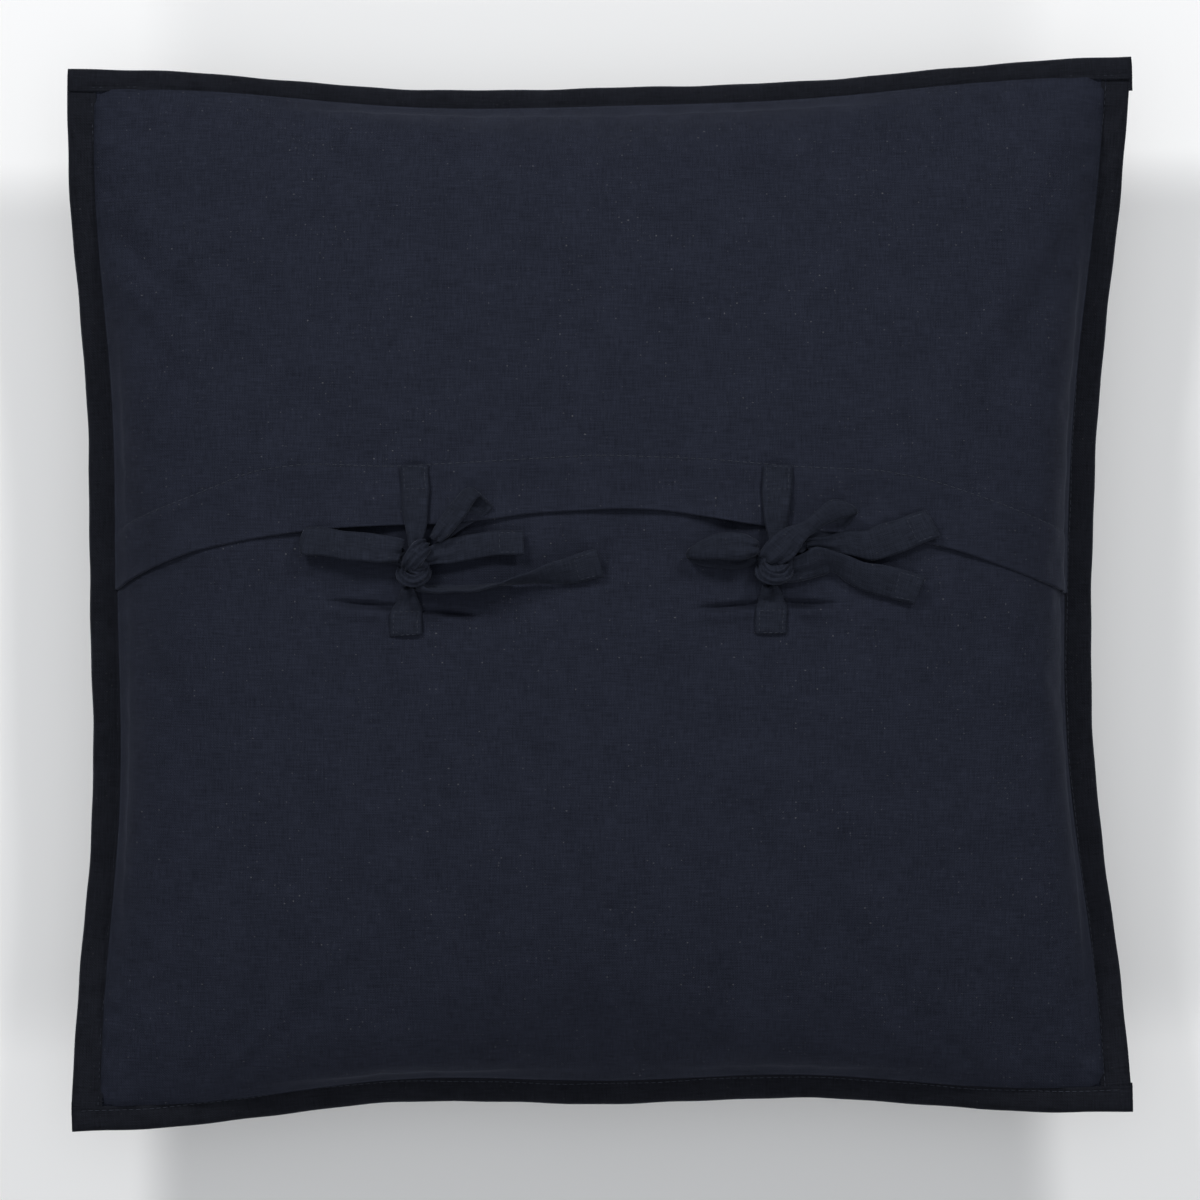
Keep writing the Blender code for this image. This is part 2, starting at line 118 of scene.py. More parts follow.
def crown(u, v):
    """Height share of a plain pillow: 0 at the seam, 1 in the middle."""
    a = 1 - np.abs(2 * np.clip(u, 0, 1) - 1) ** 2.3
    b = 1 - np.abs(2 * np.clip(v, 0, 1) - 1) ** 2.3
    return np.sqrt(np.clip(a * b, 0, None))


def corner_fade(u, v):
    """1 over the body, 0 in the flat cloth outside the rounded corners of the stuffing."""
    du = np.clip(np.minimum(u, 1 - u), 0, 1) * SIDE
    dv = np.clip(np.minimum(v, 1 - v), 0, 1) * SIDE
    nearest = np.maximum(np.minimum(du, dv), 1e-6)
    inward = CORNER_ROUND - np.hypot(CORNER_ROUND - du, CORNER_ROUND - dv)
    corner = (du < CORNER_ROUND) & (dv < CORNER_ROUND)
    depth = np.where(corner, np.clip(inward + 1.0, 0, None), nearest)
    return np.sqrt(np.clip(depth / nearest, 0, 1))


def droop(t):
    """How much of the droop a side has at share t of its length."""
    return DROOP * np.clip(np.sin(np.pi * np.clip(t, 0, 1)), 0, 1) ** 0.7


def flange_wave(x, y):
    """Gentle rise and fall of the flat edge round the cushion."""
    return 1.1 * np.sin(x / 47 + 1.0) * np.cos(y / 39) + 0.6 * np.sin(x / 23 - y / 31)


# ---- inflating the cover's cloth
CELLS = 64
FRAMES = 26
RAMP = 14
CUT = 1.012  # flat cut of the panels against the seamed outline
PRESSURE = 20.0
SHAPE_KEEP = 0.45  # how far the blown shape leads the plain pillow's
WRINKLE_KEEP = 0.4  # share of the small puckers that ironed cotton keeps


def inflate():
    """Back and front panel, sewn at the seam and blown up as cloth; two grids of points."""
    n = CELLS
    share = np.linspace(0, 1, n + 1)
    u, v = np.meshgrid(share, share, indexing="ij")
    seam = plan(u, v, SEAM_INSET)
    cut = plan(u, v, SEAM_INSET, FLAT) * CUT
    swell = np.sin(np.pi * u) * np.sin(np.pi * v)
    start = (4 + rng.normal(0, 0.15, u.shape)) * swell
    index = -np.ones((2, n + 1, n + 1), int)
    flat, pulled, pins = [], [], []
    for side, sign in ((0, 1), (1, -1)):
        for i in range(n + 1):
            for j in range(n + 1):
                edge = i in (0, n) or j in (0, n)
                if side and edge:
                    index[1, i, j] = index[0, i, j]
                    continue
                index[side, i, j] = len(flat)
                if edge:
                    pins.append(len(flat))
                flat.append((cut[i, j, 0], cut[i, j, 1], sign * start[i, j]))
                pulled.append((seam[i, j, 0], seam[i, j, 1], 0.0))
    a, b = index.tolist()
    faces = []
    for i in range(n):
        for j in range(n):
            faces.append([a[i][j], a[i + 1][j], a[i + 1][j + 1], a[i][j + 1]])
            faces.append([b[i][j], b[i][j + 1], b[i + 1][j + 1], b[i + 1][j]])
    mesh = bpy.data.meshes.new("inflating")
    mesh.from_pydata((np.array(flat) * MM).tolist(), [], faces)
    piece = bpy.data.objects.new("inflating", mesh)
    bpy.context.scene.collection.objects.link(piece)
    piece.shape_key_add(name="Basis")
    key = piece.shape_key_add(name="pulled")
    key.data.foreach_set("co", (np.array(pulled) * MM).ravel())
    group = piece.vertex_groups.new(name="seam")
    group.add(pins, 1.0, "REPLACE")
    cloth = piece.modifiers.new("cloth", "CLOTH")
    s = cloth.settings
    s.quality, s.mass, s.air_damping = 5, 0.15, 1
    s.tension_stiffness, s.compression_stiffness, s.shear_stiffness = 40, 20, 10
    s.bending_stiffness = 3
    s.use_pressure, s.uniform_pressure_force = True, PRESSURE
    s.vertex_group_mass = "seam"
    s.effector_weights.gravity = 0
    cloth.collision_settings.use_collision = False
    key.value = 0
    key.keyframe_insert("value", frame=1)
    key.value = 1
    key.keyframe_insert("value", frame=RAMP)
    scene = bpy.context.scene
    scene.frame_start, scene.frame_end = 1, FRAMES
    cloth.point_cache.frame_end = FRAMES
    for f in range(1, FRAMES + 1):
        scene.frame_set(f)
    shape = piece.evaluated_get(bpy.context.evaluated_depsgraph_get())
    co = np.array([p.co for p in shape.data.vertices]) / MM
    piece.animation_data_clear()
    bpy.data.objects.remove(piece)
    bpy.data.meshes.remove(mesh)
    for action in list(bpy.data.actions):
        bpy.data.actions.remove(action)
    scene.frame_set(1)
    return co[index[0]], co[index[1]]


def smooth(grid, times):
    """Low-pass of a grid of values with its border free to follow."""
    g = grid.copy()
    for _ in range(times):
        p = np.pad(g, ((1, 1), (1, 1)) + ((0, 0),) * (g.ndim - 2), mode="reflect",
                   reflect_type="odd")
        g = (4 * g + p[2:, 1:-1] + p[:-2, 1:-1] + p[1:-1, 2:] + p[1:-1, :-2]) / 8
    return g


def sample(grid, u, v):
    """Bicubic value of a square grid at shares u, v."""
    n = grid.shape[0] - 1
    p = np.pad(grid, ((2, 2), (2, 2)) + ((0, 0),) * (grid.ndim - 2), mode="reflect",
               reflect_type="odd")

    def taps(t):
        x = np.clip(t, 0, 1) * n
        i = np.minimum(x.astype(int), n - 1)
        f = x - i
        w = (-0.5 * f + f * f - 0.5 * f ** 3, 1 - 2.5 * f * f + 1.5 * f ** 3,
             0.5 * f + 2 * f * f - 1.5 * f ** 3, -0.5 * f * f + 0.5 * f ** 3)
        return i, w
    i, wi = taps(np.asarray(u, float))
    j, wj = taps(np.asarray(v, float))
    total = 0
    for a in range(4):
        for b in range(4):
            w = wi[a] * wj[b]
            total = total + p[i + a + 1, j + b + 1] * (w[..., None] if grid.ndim == 3 else w)
    return total


share = np.linspace(0, 1, CELLS + 1)
GU, GV = np.meshgrid(share, share, indexing="ij")


def settle(points, sign, rise):
    """Turn a blown-up panel into a plan shift and a height ratio over the plain pillow."""
    shift = points[..., :2] - plan(GU, GV, SEAM_INSET)
    soft = smooth(shift, 10)
    shift = soft + WRINKLE_KEEP * (shift - soft)
    base = crown(GU, GV)
    ratio = np.ones_like(base)
    inner = (slice(1, -1), slice(1, -1))
    ratio[inner] = sign * points[inner][..., 2] / base[inner]
    for line, near, far in ((0, 1, 2), (-1, -2, -3)):
        ratio[line] = 2 * ratio[near] - ratio[far]
        ratio[:, line] = 2 * ratio[:, near] - ratio[:, far]
    soft = smooth(ratio, 14)
    soft_share = soft / (soft * base).max()
    ratio = 1 + SHAPE_KEEP * (soft_share - 1) + WRINKLE_KEEP * (ratio - soft) / (soft * base).max()
    ratio = np.clip(ratio / (ratio * base).max(), 0.5, 1.5)
    return shift, ratio * rise


blown_back, blown_front = inflate()
BACK = settle(blown_back, 1, BACK_RISE)
FRONT = settle(blown_front, -1, FRONT_RISE)


def ridge(x, y, x0, y0, x1, y1, width, height):
    """A soft fold (or, below zero, a tuck) along a line in plan."""
    dx, dy = x1 - x0, y1 - y0
    t = np.clip(((x - x0) * dx + (y - y0) * dy) / (dx * dx + dy * dy), 0, 1)
    away = np.hypot(x - x0 - t * dx, y - y0 - t * dy)
    return height * np.exp(-(away / width) ** 2) * (0.35 + 0.65 * np.sin(np.pi * np.clip(t, 0, 1)))


# x0, y0, x1, y1, width, height of the folds and tucks on the back
FOLDS = ((222, 190, 203, 140, 9, 2.8), (226, 150, 205, 108, 8, 2.0), (-224, 202, -206, 160, 9, 2.3),
         (-226, 152, -210, 120, 8, 1.7), (215, -120, 200, -160, 12, 1.6),
         (233, 236, 220, 220, 3.2, -2.6), (-231, -236, -207, -216, 3.2, -2.6),
         (230, -223, 217, -207, 3.0, -2.2), (-230, 228, -214, 214, 3.4, -1.6),
         (-124, -3.2, -90, -5.8, 1.5, -3.4), (-124, -8.0, -94, -10.5, 3.2, 1.5),
         (-86, -6.6, -57, -8.6, 1.5, -3.4), (-76, -12.0, -56, -12.5, 3.0, 1.3),
         (46, -6.6, 77, -3.6, 1.5, -3.4), (46, -10.5, 72, -8.6, 3.2, 1.5),
         (80, -3.2, 109, -4.4, 1.5, -3.4), (86, -8.0, 108, -9.0, 3.0, 1.3))
BUMPS = [(rng.uniform(-230, 230), rng.uniform(-230, 230), rng.uniform(28, 62),
          rng.uniform(-1.0, 1.0)) for _ in range(46)]


def back_relief(x, y):
    total = sum(ridge(x, y, *f) for f in FOLDS)
    for bx, by, size, high in BUMPS:
        total = total + high * np.exp(-((x - bx) ** 2 + (y - by) ** 2) / size ** 2)
    return total


REST_DEPTH = SEAM_Z - 0.4  # the front flattens on the floor this far below the seam
REST_SOFT = 1.6  # softness of that flattening


def surface(u, v, panel, sign, bulging=1.0):
    """Points of the stuffed cover at shares u, v; outside 0..1 they run on as the flange."""
    shift, ratio = panel
    flat = plan(u, v, SEAM_INSET)
    base = crown(u, v)
    inside = np.clip(nearest_side(u, v) / 0.02, 0, 1)
    xy = flat + sample(shift, u, v) * inside[..., None]
    rounding = corner_fade(u, v)
    high = base * sample(ratio, u, v) * rounding
    x, y = xy[..., 0], xy[..., 1]
    push = np.zeros(u.shape + (2,))
    for side, away, place, axis, way in (("left", u, y, 0, -1), ("right", 1 - u, y, 0, 1),
                                         ("bottom", v, x, 1, -1), ("top", 1 - v, x, 1, 1)):
        d = np.clip(away, 0, 1) * SIDE / BULGE_DEPTH
        middle = np.clip(np.sin(np.pi * np.clip((v if axis == 0 else u), 0, 1)), 0, 1) ** 0.6
        wave = 1 + 0.17 * np.sin(place / 21 + 2.1 * axis + way) + 0.11 * np.sin(place / 8.7 + way)
        push[..., axis] += way * BULGE[side] * d * np.exp(1 - d) * middle * wave * bulging
    xy = xy + push * rounding[..., None]
    # little gathers where the stuffed cloth meets the seam
    around = np.where(np.minimum(u, 1 - u) < np.minimum(v, 1 - v), y, x)
    edge = np.clip(nearest_side(u, v), 0, 1) * SIDE
    gather = (np.sin(around / 3.1 + 2 * np.sin(around / 29)) * (0.5 + 0.5 * np.sin(around / 17 + 2))
              + 0.7 * np.sin(around / 7.3 + 1.5 * np.sin(around / 41)))
    gather = gather * 0.55 * (edge / 4) * np.exp(1 - edge / 4)
    if sign > 0:
        high = high + back_relief(x, y) * np.clip(base * 1.6, 0, 1) * rounding ** 2
    high = high + gather * rounding
    if sign < 0:
        high = REST_DEPTH - np.log1p(np.exp((REST_DEPTH - high) / REST_SOFT)) * REST_SOFT
        high = np.where(base > 0, high, 0)
        low = -np.log1p(np.exp(REST_DEPTH / REST_SOFT)) * REST_SOFT + REST_DEPTH
        high = high - low * (base < 0.05)
    beyond = (np.clip(-u, 0, 1) + np.clip(u - 1, 0, 1)) * droop(v) \
        + (np.clip(-v, 0, 1) + np.clip(v - 1, 0, 1)) * droop(u)
    z = SEAM_Z + flange_wave(x, y) * (1 - np.clip(base * rounding, 0, 1)) + sign * high \
        - beyond * SIDE / 12.0
    return np.dstack([x, y, z])


def normals(points, sign):
    a = np.gradient(points, axis=0)
    b = np.gradient(points, axis=1)
    n = unit(np.cross(a, b))
    return n * np.where((n[..., 2:] * sign) < 0, -1.0, 1.0)


def locate(x, y):
    """Shares u, v of the back panel under a plan position."""
    x, y = np.atleast_2d(np.asarray(x, float)), np.atleast_2d(np.asarray(y, float))
    u, v = (x + 238) / ACROSS_SEAMS, (y + 242) / UP_SEAMS
    for _ in range(14):
        p = plan(u, v, SEAM_INSET) + sample(BACK[0], u, v)
        u = np.clip(u + (x - p[..., 0]) / ACROSS_SEAMS, 0, 1)
        v = np.clip(v + (y - p[..., 1]) / UP_SEAMS, 0, 1)
    return u, v


# ---- materials
def node(tree, kind, **values):
    made = tree.nodes.new(kind)
    for name, value in values.items():
        if name in made.inputs:
            made.inputs[name].default_value = value
        else:
            setattr(made, name, value)
    return made


def maths(tree, operation, a, b=None, c=None):
    made = tree.nodes.new("ShaderNodeMath")
    made.operation = operation
    for socket, value in zip(made.inputs, (a, b, c)):
        if value is None:
            continue
        if isinstance(value, (int, float)):
            socket.default_value = value
        else:
            tree.links.new(value, socket)
    return made.outputs[0]


YARN_PITCH = 0.00125  # of the visible over and under, in metres


def weave(name, colour, contrast=0.5, bump=0.5, lint=0.5, slub=1.0):
    """Plain-woven cotton: irregular yarns both ways, slubs, a soft mottle and lint."""
    mat = bpy.data.materials.new(name)
    mat.use_nodes = True
    tree = mat.node_tree
    shader = tree.nodes["Principled BSDF"]
    link = tree.links.new
    uv = node(tree, "ShaderNodeUVMap", uv_map="weave").outputs[0]

    def noise(sx, sy, detail=1.0, rough=0.5):
        scaled = node(tree, "ShaderNodeVectorMath", operation="MULTIPLY")
        link(uv, scaled.inputs[0])
        scaled.inputs[1].default_value = (sx, sy, 1)
        made = node(tree, "ShaderNodeTexNoise", Scale=1.0, Detail=detail, Roughness=rough)
        made.noise_dimensions = "2D"
        link(scaled.outputs[0], made.inputs["Vector"])
        return made.outputs[0]
    warp = noise(1700, 150, 1.5)
    weft = noise(110, 1700, 1.5)
    streak = maths(tree, "ADD", noise(900, 34), noise(34, 900))
    mottle = noise(48, 48, 3.0, 0.6)
    split = node(tree, "ShaderNodeSeparateXYZ")
    link(uv, split.inputs[0])
    turns = 2 * math.pi / YARN_PITCH
    waves = [maths(tree, "SINE", maths(tree, "MULTIPLY", split.outputs[k], turns)) for k in (0, 1)]
    checks = maths(tree, "MULTIPLY", *waves)
    yarn = maths(tree, "ADD", maths(tree, "ADD", warp, weft), maths(tree, "MULTIPLY", checks, 0.10))
    # 1 plus the yarn, slub and mottle variation
    tone = 1.0
    for pattern, middle, strength in (
            (yarn, 1.0, 2.6), (streak, 1.0, 0.7 * slub), (mottle, 0.5, 1.6)):
        away = maths(tree, "SUBTRACT", pattern, middle)
        tone = maths(tree, "MULTIPLY_ADD", away, strength * contrast, tone)
    tone = maths(tree, "MAXIMUM", tone, 0.25)
    patches = maths(tree, "MULTIPLY_ADD", noise(34, 34, 1.0), 0.25, 0.88)
    fleck = maths(tree, "MULTIPLY", noise(700, 820, 0.0), patches)
    fleck = maths(tree, "MAXIMUM", maths(tree, "SUBTRACT", fleck, 0.86), 0.0)
    fleck = maths(tree, "MULTIPLY", fleck, 0.6 * lint)
    tint = node(tree, "ShaderNodeVectorMath", operation="SCALE")
    tint.inputs[0].default_value = colour
    link(tone, tint.inputs["Scale"])
    lit = node(tree, "ShaderNodeVectorMath", operation="ADD")
    link(tint.outputs[0], lit.inputs[0])
    link(fleck, lit.inputs[1])
    link(lit.outputs[0], shader.inputs["Base Color"])
    height = maths(tree, "MULTIPLY_ADD", checks, 0.35, yarn)
    raised = node(tree, "ShaderNodeBump", Strength=bump, Distance=0.00022)
    link(height, raised.inputs["Height"])
    link(raised.outputs[0], shader.inputs["Normal"])
    shader.inputs["Roughness"].default_value = 0.88
    shader.inputs["Specular IOR Level"].default_value = 0.03
    shader.inputs["Sheen Weight"].default_value = 0.10
    shader.inputs["Sheen Roughness"].default_value = 0.3
    shader.inputs["Sheen Tint"].default_value = (0.62, 0.68, 0.85, 1)
    return mat


NAVY = (0.0146, 0.0168, 0.0264)
COVER = weave("cover_weave", NAVY, contrast=0.22)
# the binding is the cover's own navy cloth; its colour is set darker than the cover as painted
# shade, standing in for the shade the flat edge lies in beside the stuffed body
PAINTED_SHADE_BINDING = weave("binding_weave_painted_shade", (0.0090, 0.0099, 0.0136), contrast=0.28, bump=0.45, lint=0.2)
TAPE = weave("tape_weave", (0.0142, 0.0166, 0.0250), contrast=0.26, bump=0.45, lint=0.4, slub=0.6)
THREAD = weave("sewing_thread", (0.034, 0.038, 0.050), contrast=0.2, bump=0.2, lint=0.0)
TICKING = weave("ticking_weave", (0.62, 0.60, 0.55), contrast=0.12, bump=0.3, lint=0.0)
FILLING = weave("filling_fibre", (0.72, 0.71, 0.68), contrast=0.08, bump=0.3, lint=0.0)


# ---- mesh helpers
def make(name, points, faces, uv, material, body="cushion", nodes=()):
    """A piece from points in millimetres, with its cloth coordinates, riding on a body."""
    points = np.asarray(points, float).reshape(-1, 3)
    uv = np.asarray(uv, float).reshape(-1, 2)
    mesh = bpy.data.meshes.new(name)
    mesh.from_pydata((points * MM).tolist(), [], [[int(k) for k in f] for f in faces])
    layer = mesh.uv_layers.new(name="weave")
    loops = np.zeros(len(mesh.loops), int)
    mesh.loops.foreach_get("vertex_index", loops)
    layer.data.foreach_set("uv", (uv[loops] * MM).ravel())
    mesh.polygons.foreach_set("use_smooth", [True] * len(mesh.polygons))
    mesh.materials.append(material)
    mesh.update()
    piece = bpy.data.objects.new(name, mesh)
    bpy.context.scene.collection.objects.link(piece)
    if body:
        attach(piece, body)
    if nodes:
        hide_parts(*nodes)
    return piece


def quads(rows, cols, wrap=False):
    """Faces of a grid of rows x cols points; wrap joins the last column to the first."""
    a = np.arange(rows * cols).reshape(rows, cols)
    b = np.roll(a, -1, axis=1) if wrap else a[:, 1:]
    a = a if wrap else a[:, :-1]
    return np.stack([a[:-1], b[:-1], b[1:], a[1:]], -1).reshape(-1, 4)


def tube(rings, around, start):
    """Faces of a tube of rings of points, numbered from start, with its two caps."""
    faces = (quads(rings, around, wrap=True) + start).tolist()
    faces.append([start + a for a in range(around)][::-1])
    faces.append([start + (rings - 1) * around + a for a in range(around)])
    return faces


def thicken(piece, thickness):
    """Give a sheet its wall, inwards from the side that shows."""
    wall = piece.modifiers.new("cloth wall", "SOLIDIFY")
    wall.thickness, wall.offset = thickness * MM, -1.0
    wall.use_even_offset = False
    bpy.context.view_layer.update()
    shape = piece.evaluated_get(bpy.context.evaluated_depsgraph_get())
    mesh = bpy.data.meshes.new_from_object(shape)
    old = piece.data
    piece.modifiers.clear()
    piece.data = mesh
    bpy.data.meshes.remove(old)


def spline(controls, t):
    """Smooth curve through control points (rows) at parameters t of 0..1 by chord length."""
    c = np.asarray(controls, float)
    step = np.linalg.norm(np.diff(c[:, :3], axis=0), axis=1)
    knots = np.concatenate([[0], np.cumsum(np.maximum(step, 1e-6) ** 0.7)])
    knots = knots / knots[-1]
    slope = np.zeros_like(c)
    slope[1:-1] = (c[2:] - c[:-2]) / (knots[2:] - knots[:-2])[:, None]
    slope[0] = (c[1] - c[0]) / (knots[1] - knots[0])
    slope[-1] = (c[-1] - c[-2]) / (knots[-1] - knots[-2])
    i = np.clip(np.searchsorted(knots, t, side="right") - 1, 0, len(c) - 2)
    h = (knots[i + 1] - knots[i])[:, None]
    f = ((t - knots[i])[:, None]) / h
    return ((2 * f ** 3 - 3 * f ** 2 + 1) * c[i] + (f ** 3 - 2 * f ** 2 + f) * h * slope[i]
            + (-2 * f ** 3 + 3 * f ** 2) * c[i + 1] + (f ** 3 - f ** 2) * h * slope[i + 1])


def spread(count, ease=0.55):
    """Shares from just outside 0 to just outside 1, closer together near both seams."""
    s = np.linspace(0, 1, count)
    s = (1 - ease) * s + ease * (1 - np.cos(np.pi * s)) / 2
    beyond = np.array([-0.014, -0.009, -0.004])
    return np.concatenate([beyond, s, 1 - beyond[::-1]])


def cloth_uv(u, v):
    return plan(u, v, SEAM_INSET, FLAT) * CUT


# ---- envelope opening
# plan positions along the free edge of the flap, left to right
FLAP_EDGE = ((-242, -3.5), (-227.9, 2.3), (-220.6, 6.0), (-211.4, 11.5), (-197.6, 17.9),
             (-183.8, 22.1), (-163.1, 26.2), (-142.4, 29.4), (-114.8, 31.7), (-91.8, 32.7),
             (-73.4, 33.1), (-52.7, 35.0), (-32.0, 38.2), (-11.3, 39.3), (9.4, 40.5),
             (30.1, 39.6), (50.8, 36.3), (69.2, 33.1), (87.6, 30.8), (110.6, 29.4),
             (133.6, 27.6), (158.9, 23.0), (175.5, 17.9), (192.1, 12.0), (203.1, 7.8),
             (214.6, 3.2), (221.0, 0.5), (240, -7.0))
# hem stitching above it
HEM_LINE = ((-242, 20), (-215, 36.0), (-183.8, 47.8), (-159.9, 57.5), (-134.6, 60.6), (-95.9, 59.0),
            (-50, 61.5), (0, 64.4), (50, 62.5), (90, 59.0), (129.5, 57.5), (153.4, 52.9),
            (185, 42.5), (212, 31.5), (240, 18))
LAP = 62.0  # the lower panel runs on this far under the flap


def along(table, x):
    """Smooth height of a plan line at x."""
    pts = np.array(table, float)
    x = np.asarray(x, float)
    total = 0
    for d, w in ((-9, 1), (-4.5, 2), (0, 3), (4.5, 2), (9, 1)):
        total = total + w * np.interp(x + d, pts[:, 0], pts[:, 1])
    return total / 9


def share_at(u, height):
    """Share v at which column u of the back reaches a plan line."""
    v = np.full_like(u, 0.5)
    for _ in range(24):
        p = plan(u, v, SEAM_INSET) + sample(BACK[0], u, v)
        v = np.clip(v + (height(p[..., 0]) - p[..., 1]) / UP_SEAMS, 0.0, 1.0)
    return v


def step_up(x, low, high):
    t = np.clip((x - low) / (high - low), 0, 1)
    return t * t * (3 - 2 * t)


COLUMNS = 260
ROWS = 170
us = spread(COLUMNS)
edge_v = share_at(us, lambda x: along(FLAP_EDGE, x))
hem_v = share_at(us, lambda x: along(HEM_LINE, x))
lap_v = share_at(us, lambda x: along(FLAP_EDGE, x) + LAP)


def rows_between(low, high, count, seam_below):
    """Shares up the columns between two lines, bunched towards the seam and run on past it."""
    s = np.linspace(0, 1, count)
    bunched = 1 - np.cos(np.pi * s / 2) if seam_below else np.sin(np.pi * s / 2)
    s = 0.55 * s + 0.45 * bunched
    v = low[:, None] + (high - low)[:, None] * s[None, :]
    beyond = np.repeat(np.array([[-0.013, -0.008, -0.004]]), len(low), 0)
    return np.concatenate([beyond, v] if seam_below else [v, 1 - beyond[:, ::-1]], 1)


def merge_rows(v, *extra):
    """Rows of shares with extra rows sorted in, none closer than 0.2 mm to the next."""
    v = np.sort(np.concatenate((v,) + extra, 1), axis=1)
    least = 0.0004 * np.arange(v.shape[1])
    return np.maximum.accumulate(v - least, axis=1) + least


# lower back panel, from the bottom seam up under the flap
v = rows_between(np.zeros_like(us), lap_v, ROWS, True)
# extra rows where the tapes pull fine tucks into the cloth
tuck_v = share_at(us, lambda x: np.full_like(x, -6.0))
v = merge_rows(v, tuck_v[:, None] + np.linspace(-0.014, 0.014, 26)[None, :])
u = np.repeat(us[:, None], v.shape[1], 1)
base = surface(u, v, BACK, 1)
over_edge = base[..., 1] - along(FLAP_EDGE, plan(u, v, SEAM_INSET)[..., 0])
pts = base + normals(base, 1) * (-0.5 * step_up(over_edge, -3.0, 3.0))[..., None]
lower = make("back_lower_panel_cloth", pts, quads(*u.shape), cloth_uv(u, v), COVER,
             nodes=["back_lower_panel"])

# flap, from the top seam down over it, with a doubled hem and a rolled free edge
BOW_X = (-85.0, 81.5)


def flap_lift(x, y):
    """Height of the flap's outer face over the stuffed surface."""
    y_edge, y_hem = along(FLAP_EDGE, x), along(HEM_LINE, x)
    ends = 1 - 0.6 * step_up(np.abs(x), 150, 205)
    hem = step_up(y_hem - y, -0.9, 0.9)
    lift = 1.0 + 0.6 * hem * ends
    lift = lift - 0.45 * ends * np.exp(-((y - y_hem) / 0.9) ** 2)    # stitches bite in
    lift = lift + 0.5 * hem * np.exp(-((y - y_hem + 3.5) / 2.6) ** 2)
    free = np.exp(-np.clip(y - y_edge, 0, None) / 7)
    wander = 0.7 * np.sin(x / 19 + 0.7) + 0.5 * np.sin(x / 8.3) + 0.9
    lift = lift + free * np.clip(wander, 0, 3) * 0.8
    # the free edge stands off beside each bow and is held down under its tab
    for bow_x in BOW_X:
        beside = np.exp(-((np.abs(x - bow_x) - 24) / 12) ** 2)
        lift = lift + free * beside * 2.6 - free * np.exp(-((x - bow_x) / 8) ** 2) * 0.5
    return np.maximum(lift, 0.9)


v = rows_between(edge_v, np.ones_like(us), ROWS - 20, False)
# extra rows so that the hem keeps a crisp step
v = merge_rows(v, hem_v[:, None] + np.linspace(-0.006, 0.006, 9)[None, :],
               edge_v[:, None] + np.linspace(0.0008, 0.008, 5)[None, :])
u = np.repeat(us[:, None], v.shape[1], 1)
base = surface(u, v, BACK, 1)
n = normals(base, 1)
lift = flap_lift(base[..., 0], base[..., 1])
seam_fade = step_up(np.minimum(np.minimum(u, 1 - u), 1 - v), -0.004, 0.02)
lift = 0.9 + (lift - 0.9) * seam_fade
top = base + n * lift[..., None]
# the edge rolls under and the hem's inner layer runs back to the stitching
roll = 0.85
first, first_n = top[:, 0], n[:, 0]
down = unit(top[:, 0] - top[:, 1])
curl = [first + roll * (first_n * (math.cos(a) - 1) + down * math.sin(a))
        for a in np.linspace(math.pi, math.pi / 6, 6)]
back_under = []
for k in np.linspace(1, 0, 14)[:-1]:
    vv = edge_v + (hem_v - edge_v) * k
    q = surface(us[:, None], vv[:, None], BACK, 1)[:, 0]
    lifted = np.maximum(flap_lift(q[:, 0], q[:, 1]) - 2 * roll, 0.2)
    back_under.append(q + first_n * lifted[:, None])
under = np.stack(back_under + curl, 1)
flap_pts = np.concatenate([under, top], 1)
uv_top = cloth_uv(u, v)
uv_under = np.stack([uv_top[:, 0] - np.stack([0 * us, np.full_like(us, k)], 1)
                     for k in np.linspace(30, 0.4, under.shape[1])], 1)
flap = make("back_flap_panel_cloth", flap_pts, quads(*flap_pts.shape[:2]),
            np.concatenate([uv_under, uv_top], 1), COVER, nodes=["back_flap_panel"])

# front panel, flat where the cushion rests on the floor
count = 200
fs = spread(count)
fu, fv = np.meshgrid(fs, fs, indexing="ij")
pts = surface(fu, fv, FRONT, -1)
front = make("front_panel_cloth", pts, quads(*fu.shape)[:, ::-1], cloth_uv(fu, fv), COVER,
             nodes=["front_panel"])


# ---- insert
INSERT_CELLS = 70


def insert_part(name, share_in, squeeze, material, node_name, sides):
    """A closed or one-sided copy of the stuffed cover, a little inside it."""
    points, uvs, faces = [], [], []
    g = np.linspace(0, 1, INSERT_CELLS)
    su, sv = np.meshgrid(g, g, indexing="ij")
    iu, iv = share_in + (1 - 2 * share_in) * su, share_in + (1 - 2 * share_in) * sv
    for panel, sign in ((BACK, 1), (FRONT, -1)):
        if sign not in sides:
            continue
        p = surface(iu, iv, panel, sign, bulging=0.0)
        p[..., 2] = SEAM_Z + (p[..., 2] - SEAM_Z) * crown(su, sv) ** 0.5 * squeeze
        faces.append(quads(INSERT_CELLS, INSERT_CELLS)[:, ::sign] + len(points) * g.size ** 2)
        points.append(p.reshape(-1, 3))
        uvs.append(cloth_uv(iu, iv).reshape(-1, 2))
    return make(name, np.concatenate(points), np.concatenate(faces), np.concatenate(uvs), material,
                nodes=[node_name])


for face, sign in (("back", 1), ("front", -1)):
    ticking = insert_part(f"insert_{face}_cloth", 0.020, 0.955, TICKING,
                          f"insert_{face}_ticking", (sign,))
core = insert_part("insert_filling_soft", 0.026, 0.93, FILLING, "insert_filling",
                   (1, -1))


# ---- stitches in rows
STITCH_DEPTH = 0.15  # how far a stitch's ends sink into the cloth


# pitch, length and thread radius of each kind of stitch
BINDING_STITCH, HEM_STITCH = (3.2, 2.5, 0.17), (3.4, 2.6, 0.2)
TAB_STITCH, TAIL_STITCH = (2.6, 2.0, 0.17), (2.6, 2.0, 0.16)


